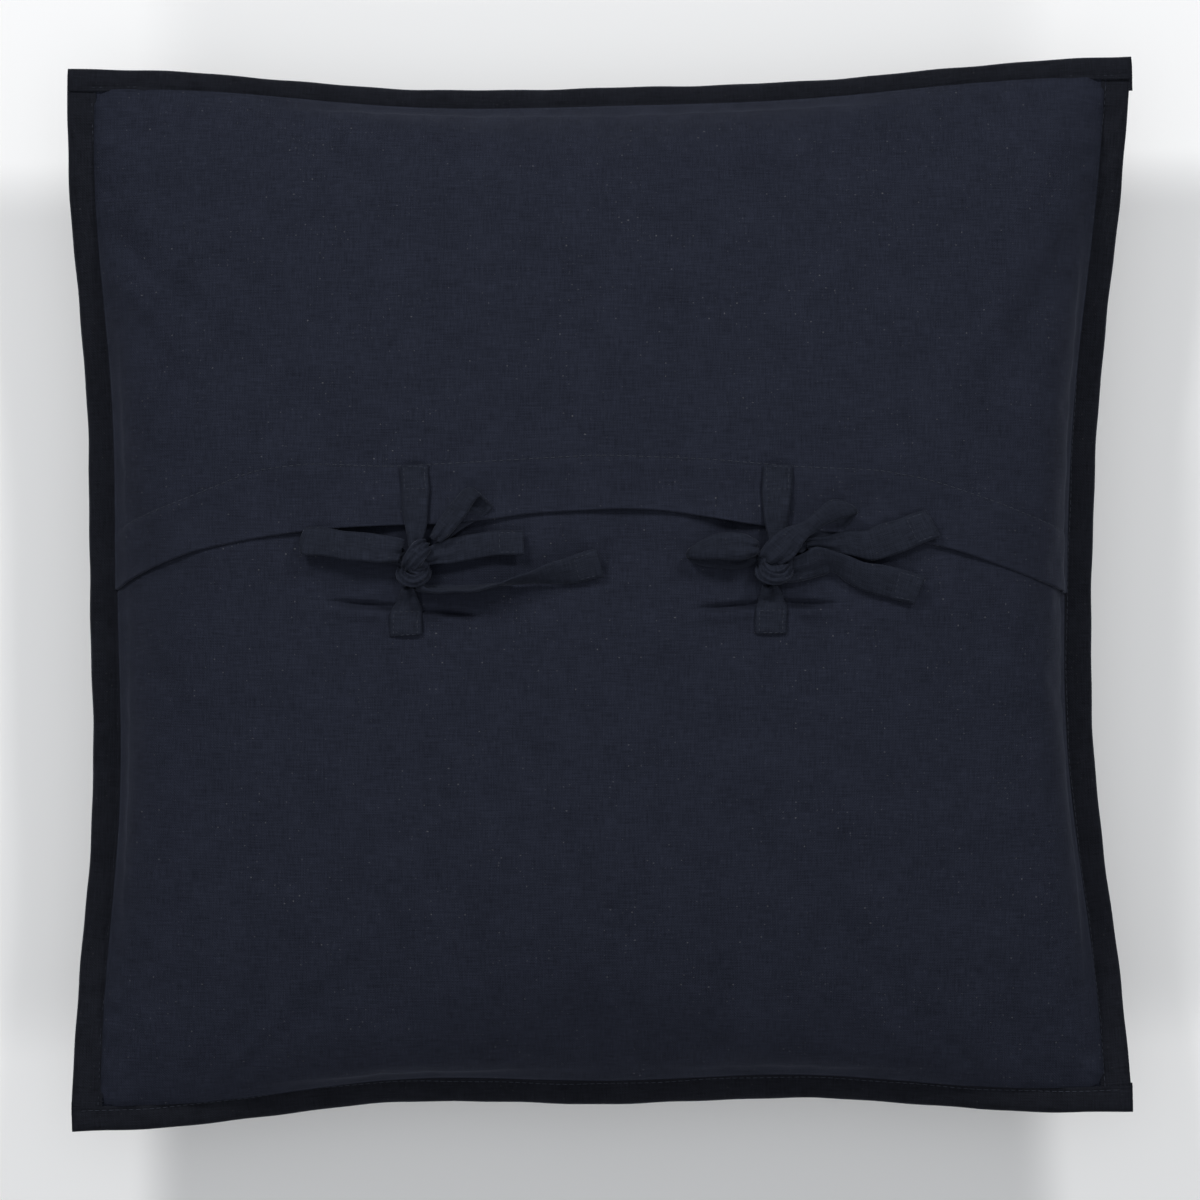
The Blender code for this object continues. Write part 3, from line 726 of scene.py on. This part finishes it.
def stitches(name, points, ups, stitch, nodes=(), body="cushion"):
    """A row of lockstitches along a line of points; each dips into the cloth at its ends."""
    pitch, length, radius = stitch
    points, ups = np.asarray(points, float), np.asarray(ups, float)
    run = run_of(points)
    count = max(int(run[-1] / pitch), 1)
    verts, uvs, faces = [], [], []
    sides, rings = 6, 6
    for k in range(count):
        s0 = (k + 0.5) * pitch - length / 2 + rng.normal(0, 0.08)
        t = s0 + length * np.linspace(0, 1, rings)
        core = np.stack([np.interp(t, run, points[:, a]) for a in range(3)], 1)
        up = np.stack([np.interp(t, run, ups[:, a]) for a in range(3)], 1)
        up = unit(up)
        bow = np.sin(np.pi * np.linspace(0, 1, rings))
        core = core + up * (bow * radius * 0.8 - STITCH_DEPTH)[:, None]
        side = np.cross(unit(np.gradient(core, axis=0)), up)
        size = radius * np.sqrt(np.clip(1 - (2 * np.linspace(0, 1, rings) - 1) ** 4, 0.03, 1))
        ring = []
        for a in np.linspace(0, 2 * math.pi, sides, endpoint=False):
            ring.append(core + (side * math.cos(a) + up * math.sin(a)) * size[:, None])
        ring = np.stack(ring, 1)
        verts.append(ring.reshape(-1, 3))
        uvs.append(np.stack([np.tile(np.arange(sides), rings) * 0.2, np.repeat(t, sides)], 1))
        faces.extend(tube(rings, sides, k * rings * sides))
    return make(name, np.concatenate(verts), faces, np.concatenate(uvs), THREAD, body=body,
                nodes=nodes)


# ---- bindings
def side_line(side, t):
    """Outer edge of one side in plan, low end to high end, and its outward direction."""
    t = np.asarray(t, float)
    u, v = {"left": (0 * t, t), "right": (0 * t + 1, t),
            "bottom": (t, 0 * t), "top": (t, 0 * t + 1)}[side]
    p = plan(u, v, OUTER)
    tangent = unit(np.gradient(p, axis=0))
    out = np.stack([tangent[:, 1], -tangent[:, 0]], 1)
    outward = {"left": (-1, 0), "right": (1, 0), "bottom": (0, -1), "top": (0, 1)}[side]
    if (out @ np.array(outward)).mean() < 0:
        out = -out
    return p, out


BINDING_UNDER = {"left": 12.5, "right": 12.5, "top": 15.5, "bottom": 13.5}
SEWN_IN = 1.9  # from a strip's inner edge to its stitches


def binding(side, start, end, wall):
    """A cloth strip folded over the raw edges of one side and sewn through."""
    count = 240
    t = np.linspace(start, end, count)
    whole = np.linspace(0, 1, 400)
    edge, out = (np.stack([np.interp(t, whole, line[:, a]) for a in range(2)], 1)
                 for line in side_line(side, whole))
    run = run_of(edge)
    phase = {"left": 0.4, "right": 1.7, "top": 2.9, "bottom": 4.2}[side]
    ripple = 0.16 * np.sin(run / 11 + phase) + 0.12 * np.sin(run / 5.3 + 2 * phase)
    wide = SEAM_INSET[side] + 0.9 + 0.35 * np.sin(run / 31 + phase) + 0.2 * np.sin(run / 7.7)
    below = BINDING_UNDER[side] + 0.4 * np.sin(run / 27 + 1)
    pinch = 1 - 0.72 * np.exp(-(np.minimum(run, run[-1] - run) / 1.8) ** 2)   # sewn-flat ends
    section = []
    for f in np.linspace(1, 0, 15):
        d = wide * f
        z = wall * (1 - np.exp(-d / 1.1)) + 0.42 * np.sin(np.pi * np.clip(f / 0.8, 0, 1)) \
            - 0.35 * np.exp(-((wide - d - SEWN_IN) / 0.8) ** 2) \
            + 0.16 * np.sin(run / 2.6 + 3 * f + phase) * np.sin(np.pi * f)
        section.append((d, z))
    for f in np.linspace(0, 1, 13)[1:]:
        d = below * f
        z = -wall * (1 - np.exp(-d / 1.1)) - 0.35 * np.sin(np.pi * np.clip(f / 0.8, 0, 1)) \
            + 0.3 * np.exp(-((below - d - SEWN_IN) / 0.8) ** 2)
        section.append((d, z))
    rings = []
    for d, z in section:
        xy = edge - out * (d - ripple * np.exp(-d / 6))[:, None]
        hang = droop(t) * np.clip(1 - d / (wide if len(rings) < 15 else below), 0, 1)
        rings.append(np.stack([xy[:, 0], xy[:, 1],
                               SEAM_Z + flange_wave(xy[:, 0], xy[:, 1]) + z * pinch - hang], 1))
    pts = np.stack(rings, 1)
    uv = np.stack(np.meshgrid(run, np.arange(len(section)) * 0.95, indexing="ij"), -1)
    piece = make("binding_" + side + "_cloth", pts, quads(count, len(section)), uv, PAINTED_SHADE_BINDING,
                 nodes=["binding_" + side])
    thicken(piece, 0.45)
    # the seam stitching, on top and underneath
    for row, sign, under, nodes in ((wide - SEWN_IN, 1, "", ["stitching_" + side]),
                                    (below - SEWN_IN, -1, "_under", ())):
        xy = edge - out * row[:, None]
        z = SEAM_Z + flange_wave(xy[:, 0], xy[:, 1]) + sign * (wall + 0.06)
        line = np.column_stack([xy, z - droop(t) * SEWN_IN / row])
        ups = np.tile((0.0, 0.0, sign), (count - 4, 1))
        stitches(f"seam_{side}_thread{under}", line[2:-2], ups, BINDING_STITCH, nodes=nodes)


for side in ("left", "right"):
    binding(side, 0.016, 0.984, 1.35)
for side in ("bottom", "top"):
    binding(side, 0.0, 1.0, 1.95)

# hem stitching across the flap
hx = np.linspace(-222, 214, 420)
hu, hv = locate(hx, along(HEM_LINE, hx))
hp = surface(hu, hv, BACK, 1)[0]
around = np.array((-0.002, 0.002))
hn = []
for k in range(hp.shape[0]):
    uu, vv = np.meshgrid(hu[0, k] + around, hv[0, k] + around, indexing="ij")
    hn.append(normals(surface(uu, vv, BACK, 1), 1)[0, 0])
hn = np.array(hn)
HEM_TOP = 1.175  # the thread's height over the stuffed surface
stitches("hem_thread", hp + hn * HEM_TOP, hn, HEM_STITCH, nodes=["stitching_flap_hem"])


# ---- tapes of the bows
def stand(points):
    """Control points given as x, y, height over the back, as real positions."""
    p = np.array(points, float)
    u, v = locate(p[:, 0], p[:, 1])
    p[:, 2] += surface(u, v, BACK, 1)[0, :, 2]
    return p


ACROSS = 16  # points over a tape's width
TAPE_WEAVE = 15.8  # width of the tape's cloth coordinates
HEM_FROM_END = 11.2  # stitch line of a tail's end hem


def band(name, stations, bulge, pleats, count, seed, gather=0.0, gather_end=0.0, thick=1.15,
         hinge=None, end_hem=False):
    """A flat doubled tape swept between its two edges, with a soft belly and root pleats."""
    t = np.linspace(0, 1, count)
    a = stand([station[:3] for station in stations])
    b = stand([station[3:] for station in stations])
    both = spline(np.concatenate([(a + b) / 2, a, b], 1), t)
    a, b = both[:, 3:6], both[:, 6:9]
    mid = (a + b) / 2
    run = run_of(mid)
    normal = unit(np.cross(np.gradient(mid, axis=0), b - a))
    first = next((k for k in range(count) if abs(normal[k, 2]) > 0.3), 0)
    if normal[first, 2] < 0:
        normal = -normal
    for _ in range(3):
        normal[1:-1] = (normal[2:] + 2 * normal[1:-1] + normal[:-2]) / 4
    normal = unit(normal)
    r = np.random.default_rng(100 + seed)
    phase = r.uniform(0, 6.28, 6)
    w = np.linspace(0, 1, ACROSS)
    W, R = np.meshgrid(w, run, indexing="xy")
    belly = (1 - (2 * W - 1) ** 2) * bulge
    fold = gather * np.exp(-R / 9) * np.cos(2 * math.pi * (pleats * W + phase[0] / 6.28))
    fold += gather_end * np.exp(-(run[-1] - R) / 8) \
        * np.cos(2 * math.pi * (pleats * W + phase[1] / 6.28))
    crease = 0.22 * np.sin(R / 4.2 + 2.2 * W + phase[2]) \
        + 0.18 * np.sin(R / 2.3 - 3 * W + phase[3]) \
        + 0.30 * np.sin(R / 9.0 + phase[4]) * (2 * W - 1)
    seam_press = -0.16 * (np.exp(-((W - 0.11) / 0.05) ** 2)
                          + np.exp(-((W - 0.89) / 0.05) ** 2))
    if end_hem:
        from_end = run[-1] - R
        seam_press = seam_press + 0.22 * step_up(11.5 - from_end, -0.6, 0.6) \
            - 0.25 * np.exp(-((from_end - HEM_FROM_END) / 0.6) ** 2)
    high = belly + fold + crease * 0.8
    centre = a[:, None, :] * (1 - W[..., None]) + b[:, None, :] * W[..., None] \
        + normal[:, None, :] * high[..., None]
    # keep the tape's edges from running dead straight
    wobble = 0.22 * np.sin(run / 5.1 + phase[5]) + 0.15 * np.sin(run / 2.7 + phase[1])
    centre = centre + unit(b - a)[:, None, :] * wobble[:, None, None]
    half = thick / 2 * np.clip(1 - np.abs(2 * W - 1) ** 7, 0.0, 1) ** 0.5 + 0.10 + seam_press * 0.5
    taper = np.clip(np.minimum(np.arange(count), np.arange(count)[::-1]) / 1.5, 0.45, 1)[:, None]
    half = np.maximum(half, 0.08) * taper
    face_n = normals(centre, 1)
    flip = np.sign(np.sum(face_n * normal[:, None, :], axis=-1, keepdims=True))
    face_n = face_n * np.where(flip == 0, 1, flip)
    upper = centre + face_n * half[..., None]
    lower_side = centre - face_n * half[..., None]
    ring = np.concatenate([upper, lower_side[:, ::-1]], 1)
    uv = np.stack([np.concatenate([W, 1.02 + W], 1) * TAPE_WEAVE, np.concatenate([R, R], 1)], -1)
    faces = quads(count, 2 * ACROSS, wrap=True).tolist()
    for row, way in ((0, -1), ((count - 1) * 2 * ACROSS, 1)):
        for k in range(ACROSS - 1):
            faces.append([row + k, row + k + 1, row + 2 * ACROSS - 2 - k,
                          row + 2 * ACROSS - 1 - k][::way])
    piece = make(name + "_tape", ring, faces, uv, TAPE, body=None if hinge else "cushion",
                 nodes=[name])
    hems = []
    if end_hem:
        def lane(table, rows, cells):
            """Rows of the tape read at shares over its width."""
            return np.array([[np.interp(cell, w, table[row, :, c]) for c in range(3)]
                             for row in rows for cell in cells])
        row = int(np.argmin(np.abs(run - (run[-1] - HEM_FROM_END))))
        last = [k for k in range(count) if 1.2 < run[-1] - run[k] < 11.5]
        for rows, cells in (([row], np.linspace(0.10, 0.90, 20)), (last, (0.11,)), (last, (0.89,))):
            if len(rows) * len(cells) > 2:
                hems.append((lane(upper, rows, cells), lane(face_n, rows, cells)))
    if hinge:
        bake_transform(piece)
        for k, (line, ups) in enumerate(hems):
            made = stitches(f"{name}_tape_thread_{k}", line, ups, TAIL_STITCH, body=None)
            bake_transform(made)
    return upper, face_n, run


def wrap(name, knot, parts):
    """A knot: gathered lengths of tape, each swept as a soft pleated roll.

    A part is its path (x, y, height over the back), half width, half thickness, and the
    number and height of its pleats.
    """
    verts, faces, uvs = [], [], []
    count, around = 44, 40
    for k, (path, half_w, half_t, ribs, rib) in enumerate(parts):
        t = np.linspace(0, 1, count)
        c = spline(stand(path), t)
        ahead = unit(np.gradient(c, axis=0))
        side = unit(np.cross(ahead, (0, 0, 1.0)))
        up = np.cross(side, ahead)
        angle = np.linspace(0, 2 * math.pi, around, endpoint=False)
        fade = np.sqrt(np.clip(1 - np.abs(2 * t - 1) ** 5, 0.02, 1))
        phase = 1.3 * k + 0.5
        cosine, sine = np.cos(angle), np.sin(angle)
        cosine = np.sign(cosine) * np.abs(cosine) ** 0.8
        sine_soft = np.sign(sine) * np.abs(sine) ** 0.8
        twist = 0.7 * np.sin(2.2 * t + phase)
        pleat = rib * np.cos(ribs * math.pi * (cosine[None, :] + twist[:, None]) + phase) \
            * np.clip(sine[None, :] + 0.25, 0, 1)
        pleat += 0.25 * np.sin(7 * t[:, None] + 3 * cosine[None, :] + phase) \
            * np.clip(sine[None, :], 0, 1)
        across = cosine[None, :] * half_w * fade[:, None]
        high = sine_soft[None, :] * half_t * fade[:, None] + pleat
        ring = c[:, None] + side[:, None] * across[..., None] + up[:, None] * high[..., None]
        verts.append(ring.reshape(-1, 3))
        uvs.append(np.stack([np.tile(angle * half_w, count), np.repeat(run_of(c), around)], 1))
        faces.extend(tube(count, around, k * count * around))
    piece = make(name, np.concatenate(verts), faces, np.concatenate(uvs), TAPE, nodes=[knot])


# each tape from its root outwards: x, y, height over the back of one edge, then of the other
TAPES = {
    "left_flap_tab": (
        (-91.3, 59.8, 3, -78.4, 59.8, 3), (-91.3, 53.8, 3, -78.4, 53.8, 3),
        (-91.3, 47.4, 3.1, -78.4, 47.4, 3.1), (-90.9, 40, 3.4, -78.9, 40, 3.4),
        (-89.9, 32.7, 4, -79.4, 32.7, 4.2), (-88.1, 26.2, 5.2, -80.7, 26.2, 5.6),
        (-87.2, 21.6, 6.5, -82.1, 21.6, 6.8)),
    "left_panel_tab": (
        (-96.8, -19.3, 0.9, -81.7, -18.4, 0.9), (-96.8, -14.3, 0.9, -81.7, -13.3, 0.9),
        (-96.8, -8.7, 1, -81.7, -7.8, 1), (-94.5, -4.1, 1.6, -83, -3.7, 1.6),
        (-92.2, -0.5, 2.6, -84.4, 0, 2.8), (-91.3, 2.8, 4, -85.3, 3.2, 4.4)),
    "left_loop_a": (
        (-89.5, 25.3, 8, -92.2, 15.2, 9), (-101, 27.6, 7.5, -101, 14.7, 10),
        (-114.8, 29.4, 6.5, -114.8, 16.1, 10), (-126.3, 30.8, 5.5, -126.3, 17.5, 9),
        (-133.2, 31.3, 4.8, -136.4, 18.4, 8), (-135.9, 30.8, 3.6, -137.8, 19.3, 6),
        (-133.2, 30.4, 2.9, -135.5, 19.3, 3.2), (-124, 29.4, 2.9, -124.9, 17.9, 2.4),
        (-110.2, 28.5, 3, -111.1, 16.6, 2.6), (-96.4, 25.3, 3.6, -97.3, 15.2, 3.6),
        (-89.9, 21.6, 4.6, -91.3, 13.3, 5.2)),
    "left_loop_b": (
        (-78.5, 26.8, 8, -73.5, 24.3, 8), (-75.7, 31.8, 9.5, -69, 27.3, 9),
        (-71.5, 37.8, 10.5, -63, 34.3, 9.8), (-66, 44.2, 11.2, -58.1, 41.3, 10.6),
        (-62.5, 48.1, 10.4, -55.8, 44.2, 10), (-60.3, 49.1, 8, -54.2, 44.5, 7.6),
        (-60.3, 46.7, 4.4, -49.6, 40.6, 4.2), (-65.5, 41.8, 3.6, -54.1, 35.8, 3.4),
        (-72, 35.3, 3.4, -63, 30.3, 3), (-77, 27.8, 4.6, -70.5, 24.3, 4.2)),
    "left_tail_a": (
        (-80.7, 19.8, 6.5, -78.9, 13.3, 5.5), (-73.4, 24.8, 6, -73.4, 14.3, 5),
        (-64.2, 27.1, 5, -64.2, 15.2, 4.6), (-55, 28.5, 4.2, -55, 17, 4.4),
        (-45.8, 29.4, 3.6, -45.8, 17.9, 4.6), (-35.2, 29.9, 3.2, -34.7, 18.9, 4.8)),
    "left_tail_b": (
        (-83.5, 5.1, 8, -84.4, 2.8, 3.5), (-78, 2.1, 12, -78.9, 3.2, 1),
        (-68.8, 1.6, 13.5, -69.2, 3.7, 0.8), (-57.3, 2.3, 13.5, -57.3, 4.1, 0.8),
        (-45.8, 5.1, 13, -44.9, 5.1, 0.8), (-34.3, 9.7, 11, -32, 5.5, 1.2),
        (-22.8, 14.7, 9, -19.6, 5.1, 2), (-11.3, 18.4, 6.5, -8.1, 6, 2.5),
        (-1.2, 21.2, 5, 2.1, 7.8, 3)),
    "right_flap_tab": (
        (74.8, 59.8, 3, 88.5, 59.8, 3), (74.8, 53.8, 3, 88.5, 53.8, 3),
        (74.8, 47.4, 3.1, 88.5, 47.4, 3.1), (75.2, 40, 3.4, 87.6, 40, 3.4),
        (76.1, 32.7, 4, 86.7, 32.7, 4.2), (77.5, 25.3, 5.2, 84.9, 25.3, 5.6),
        (78, 20.7, 6.5, 83, 20.7, 6.8)),
    "right_panel_tab": (
        (71.5, -17.9, 0.9, 86.2, -17.9, 0.9), (71.5, -12.4, 0.9, 86.2, -12, 0.9),
        (71.5, -6.9, 1, 86.2, -6.4, 1), (72.9, -2.8, 1.8, 84.9, -2.3, 1.8),
        (74.3, 0.9, 3, 84, 1.4, 3), (75.2, 4.1, 4.4, 82.1, 4.6, 4.6)),
    "right_loop_b": (
        (72.9, 18.7, 8, 81.7, 13, 8), (77.3, 25.3, 12, 88.8, 17.4, 11.5),
        (84.4, 30.2, 13.5, 93.6, 23.6, 12.5), (92.3, 32.8, 12, 98, 28, 11.5),
        (99.3, 38.5, 12.5, 104.6, 32.8, 11), (106.8, 44, 11.5, 112.1, 35.7, 10.2),
        (114.3, 41.8, 9.5, 117.6, 37, 9), (115.9, 38.7, 7, 117.6, 35.7, 6.4),
        (108.3, 37.2, 4.4, 112.1, 30.2, 3.8), (97.6, 31.9, 4, 104.6, 26.4, 3.4),
        (89.6, 27.1, 4.6, 97.6, 22.7, 4), (84.4, 22.7, 5, 93.2, 18.7, 4.8)),
    "right_loop_a": (
        (72.5, 25.3, 9, 72.5, 18.3, 9), (66.8, 28.2, 11, 66.3, 16.4, 11),
        (58.8, 28.3, 11.5, 58.8, 15.7, 11), (52.2, 27.5, 11, 52.2, 16.3, 10),
        (47, 25.2, 10, 46.5, 16.4, 9.2), (43.4, 22.7, 8.2, 42.8, 16.7, 7.6),
        (41.9, 21.6, 5.6, 41.3, 16.9, 5), (43.4, 21.4, 3.2, 42.6, 15.2, 2.6),
        (50, 21.6, 3, 48.3, 13.2, 2.4), (58.8, 22, 3, 58, 11.6, 2.4),
        (67.6, 21.6, 3.6, 67.6, 12.8, 3), (72.5, 20.9, 4.6, 72.5, 15.5, 4.6)),
    "right_tail_a": (
        (94, 25.3, 6, 95.8, 20.9, 5.5), (102.8, 27.1, 5, 104.6, 20.1, 4.5),
        (111.6, 29.3, 4.5, 115.2, 17.9, 3.8), (122.2, 29.7, 4.2, 125.7, 15.7, 3.6),
        (129.2, 32.6, 4, 134.5, 17.9, 4), (139.8, 35.9, 3.8, 146, 22.4, 4.6),
        (150.8, 39.2, 3.6, 157.4, 26.5, 5)),
    "right_tail_b": (
        (88.8, 17.4, 6, 85.7, 6, 3), (94, 19.6, 8.5, 94, 6.7, 2.4),
        (99.8, 22, 10.5, 102.8, 9.1, 1.6), (107.2, 20.1, 9.5, 107.2, 10.4, 2),
        (115.2, 17.4, 8, 113.8, 6, 2), (124, 14.8, 6.5, 124, 1.4, 2.2),
        (136.3, 12.6, 5, 133.6, -1.9, 2.4), (150.4, 8.2, 4, 145.1, -4.1, 2.8)),
}
# hinge of each loose length, as in the record: where it leaves the knot, and which way
HINGES = {
    "left_loop_a": ((-0.1006, 0.0170, 0.13988), (-0.9819, 0.1893)),
    "left_loop_b": ((-0.0790, 0.0242, 0.1444), (0.6768, 0.7362)),
    "left_tail_a": ((-0.0756, 0.0156, 0.14154), (0.9613, 0.2757)),
    "left_tail_b": ((-0.0775, -0.0005, 0.14145), (0.9979, -0.0644)),
    "right_loop_a": ((0.0690, 0.0140, 0.14306), (-0.9583, 0.2858)),
    "right_loop_b": ((0.0896, 0.0222, 0.14212), (0.8229, 0.5682)),
    "right_tail_a": ((0.0938, 0.0118, 0.13821), (0.9574, 0.2889)),
    "right_tail_b": ((0.0925, 0.0005, 0.13845), (0.9818, -0.1900)),
}
TAB_BOX = 11.0  # length of a tab's box of stitches
for number, (name, stations) in enumerate(TAPES.items()):
    if name.endswith("tab"):
        upper, ups, run = band(name, stations, 0.35, 1.5, 56, number, gather_end=1.2, thick=1.7)
        # the sewn box that holds the tab
        last = int(np.argmin(np.abs(run - TAB_BOX)))
        lanes = (2, upper.shape[1] - 3)
        corner = [(1, lanes[0]), (last, lanes[0]), (last, lanes[1]), (1, lanes[1]), (1, lanes[0])]
        line, facing = [], []
        for (r0, c0), (r1, c1) in zip(corner[:-1], corner[1:]):
            for f in np.linspace(0, 1, 12)[:-1]:
                r, c = r0 + (r1 - r0) * f, c0 + (c1 - c0) * f
                line.append(upper[int(round(r)), int(round(c))])
                facing.append(ups[int(round(r)), int(round(c))])
        stitches(name + "_thread", line, facing, TAB_STITCH, nodes=[name + "_stitching"])
    else:
        hinge = (name,) + HINGES[name]
        loop = "loop" in name
        band(name, stations, 0.9 if loop else 0.5, 2.0, 110 if loop else 84, number, gather=1.0,
             gather_end=0.9 if loop else 0.0, hinge=hinge, end_hem=not loop)

wrap("left_knot_wraps", "left_knot", (
    (((-90.5, 14, 2.5), (-88, 14, 4.8), (-82, 14, 4.8), (-79, 14, 2.5)), 6.2, 3.4, 1.5, 0.3),
    (((-80.2, 23.0, 4), (-82.6, 20.6, 9.5), (-85.4, 16.4, 11.2), (-88.0, 11.6, 7.0)),
     4.6, 3.2, 3.0, 0.85),
    (((-91.6, 12.6, 4), (-90.2, 8.4, 7.6), (-85.6, 6.6, 9.2), (-81.2, 8.4, 8.2), (-79.2, 12.6, 4)),
     3.2, 2.6, 2.4, 0.7),
    (((-90.6, 17.0, 6.0), (-87.0, 12.8, 9.8), (-82.6, 10.6, 9.4), (-79.4, 11.2, 6.0)),
     2.0, 1.7, 1.6, 0.4)))
wrap("right_knot_wraps", "right_knot", (
    (((74, 15, 3), (76.5, 15, 5), (84.5, 15, 5), (88, 15, 3)), 6.4, 3.8, 1.5, 0.3),
    (((73.6, 13.4, 4), (75.4, 9.4, 7.8), (80.0, 7.8, 9.3), (84.8, 9.2, 8.2), (87.4, 13.4, 4.6)),
     3.4, 2.8, 2.4, 0.75),
    (((74.8, 14.4, 7.0), (78.0, 11.4, 9.8), (83.4, 11.6, 9.6), (87.0, 14.8, 6.0)),
     2.2, 1.8, 1.6, 0.4)))

# ---- stage
bpy.ops.mesh.primitive_plane_add(size=9, location=(0, 0, 0))
floor = bpy.context.object
floor.name = "floor"
pale = bpy.data.materials.new("floor")
pale.use_nodes = True
paint = pale.node_tree.nodes["Principled BSDF"]
paint.inputs["Base Color"].default_value = (0.9, 0.9, 0.9, 1)
paint.inputs["Roughness"].default_value = 0.9
floor.data.materials.append(pale)

OVERHEAD, HORIZON = 1.15, 0.012
world = bpy.data.worlds.new("studio")
bpy.context.scene.world = world
world.use_nodes = True
sky = world.node_tree.nodes["Background"]
sky.inputs["Color"].default_value = (0.93, 0.96, 1.0, 1)
# a big soft box overhead: bright at the zenith, dim towards the horizon
tree = world.node_tree
around = node(tree, "ShaderNodeTexCoord")
split = node(tree, "ShaderNodeSeparateXYZ")
tree.links.new(around.outputs["Generated"], split.inputs[0])
rise = maths(tree, "POWER", maths(tree, "MAXIMUM", split.outputs["Z"], 0.0), 6.0)
tree.links.new(maths(tree, "MULTIPLY_ADD", rise, OVERHEAD, HORIZON), sky.inputs["Strength"])


def lamp(name, x, y, size, power):
    """A round lamp aimed at the bows."""
    light = bpy.data.lights.new(name, "AREA")
    light.shape, light.size, light.energy = "DISK", size, power
    item = bpy.data.objects.new(name, light)
    bpy.context.scene.collection.objects.link(item)
    item.location = (x, y, 1.9)
    aim = Vector((0, 0, 0.1)) - item.location
    item.rotation_euler = aim.to_track_quat("-Z", "Y").to_euler()


lamp("key_left", -1.3, 1.8, 0.7, 39)
lamp("key_right", 1.3, 1.8, 0.7, 34)
lamp("fill_left", -1.6, -1.6, 1.0, 17)
lamp("fill_right", 1.6, -1.6, 1.0, 16)

camera_data = bpy.data.cameras.new("camera")
camera = bpy.data.objects.new("camera", camera_data)
bpy.context.scene.collection.objects.link(camera)
CAMERA_RISE = 3.5
FRAME_WIDTH = 0.5645  # width of the picture at the seam's height
camera.location = (0.0002, -0.0024, CAMERA_RISE + SEAM_Z * MM)
camera.rotation_euler = (0, 0, 0)
camera_data.sensor_width = 36
camera_data.lens = 36 * CAMERA_RISE / FRAME_WIDTH
camera_data.clip_end = 50
bpy.context.scene.camera = camera
bpy.context.scene.view_settings.view_transform = "Standard"
bpy.context.scene.view_settings.look = "None"
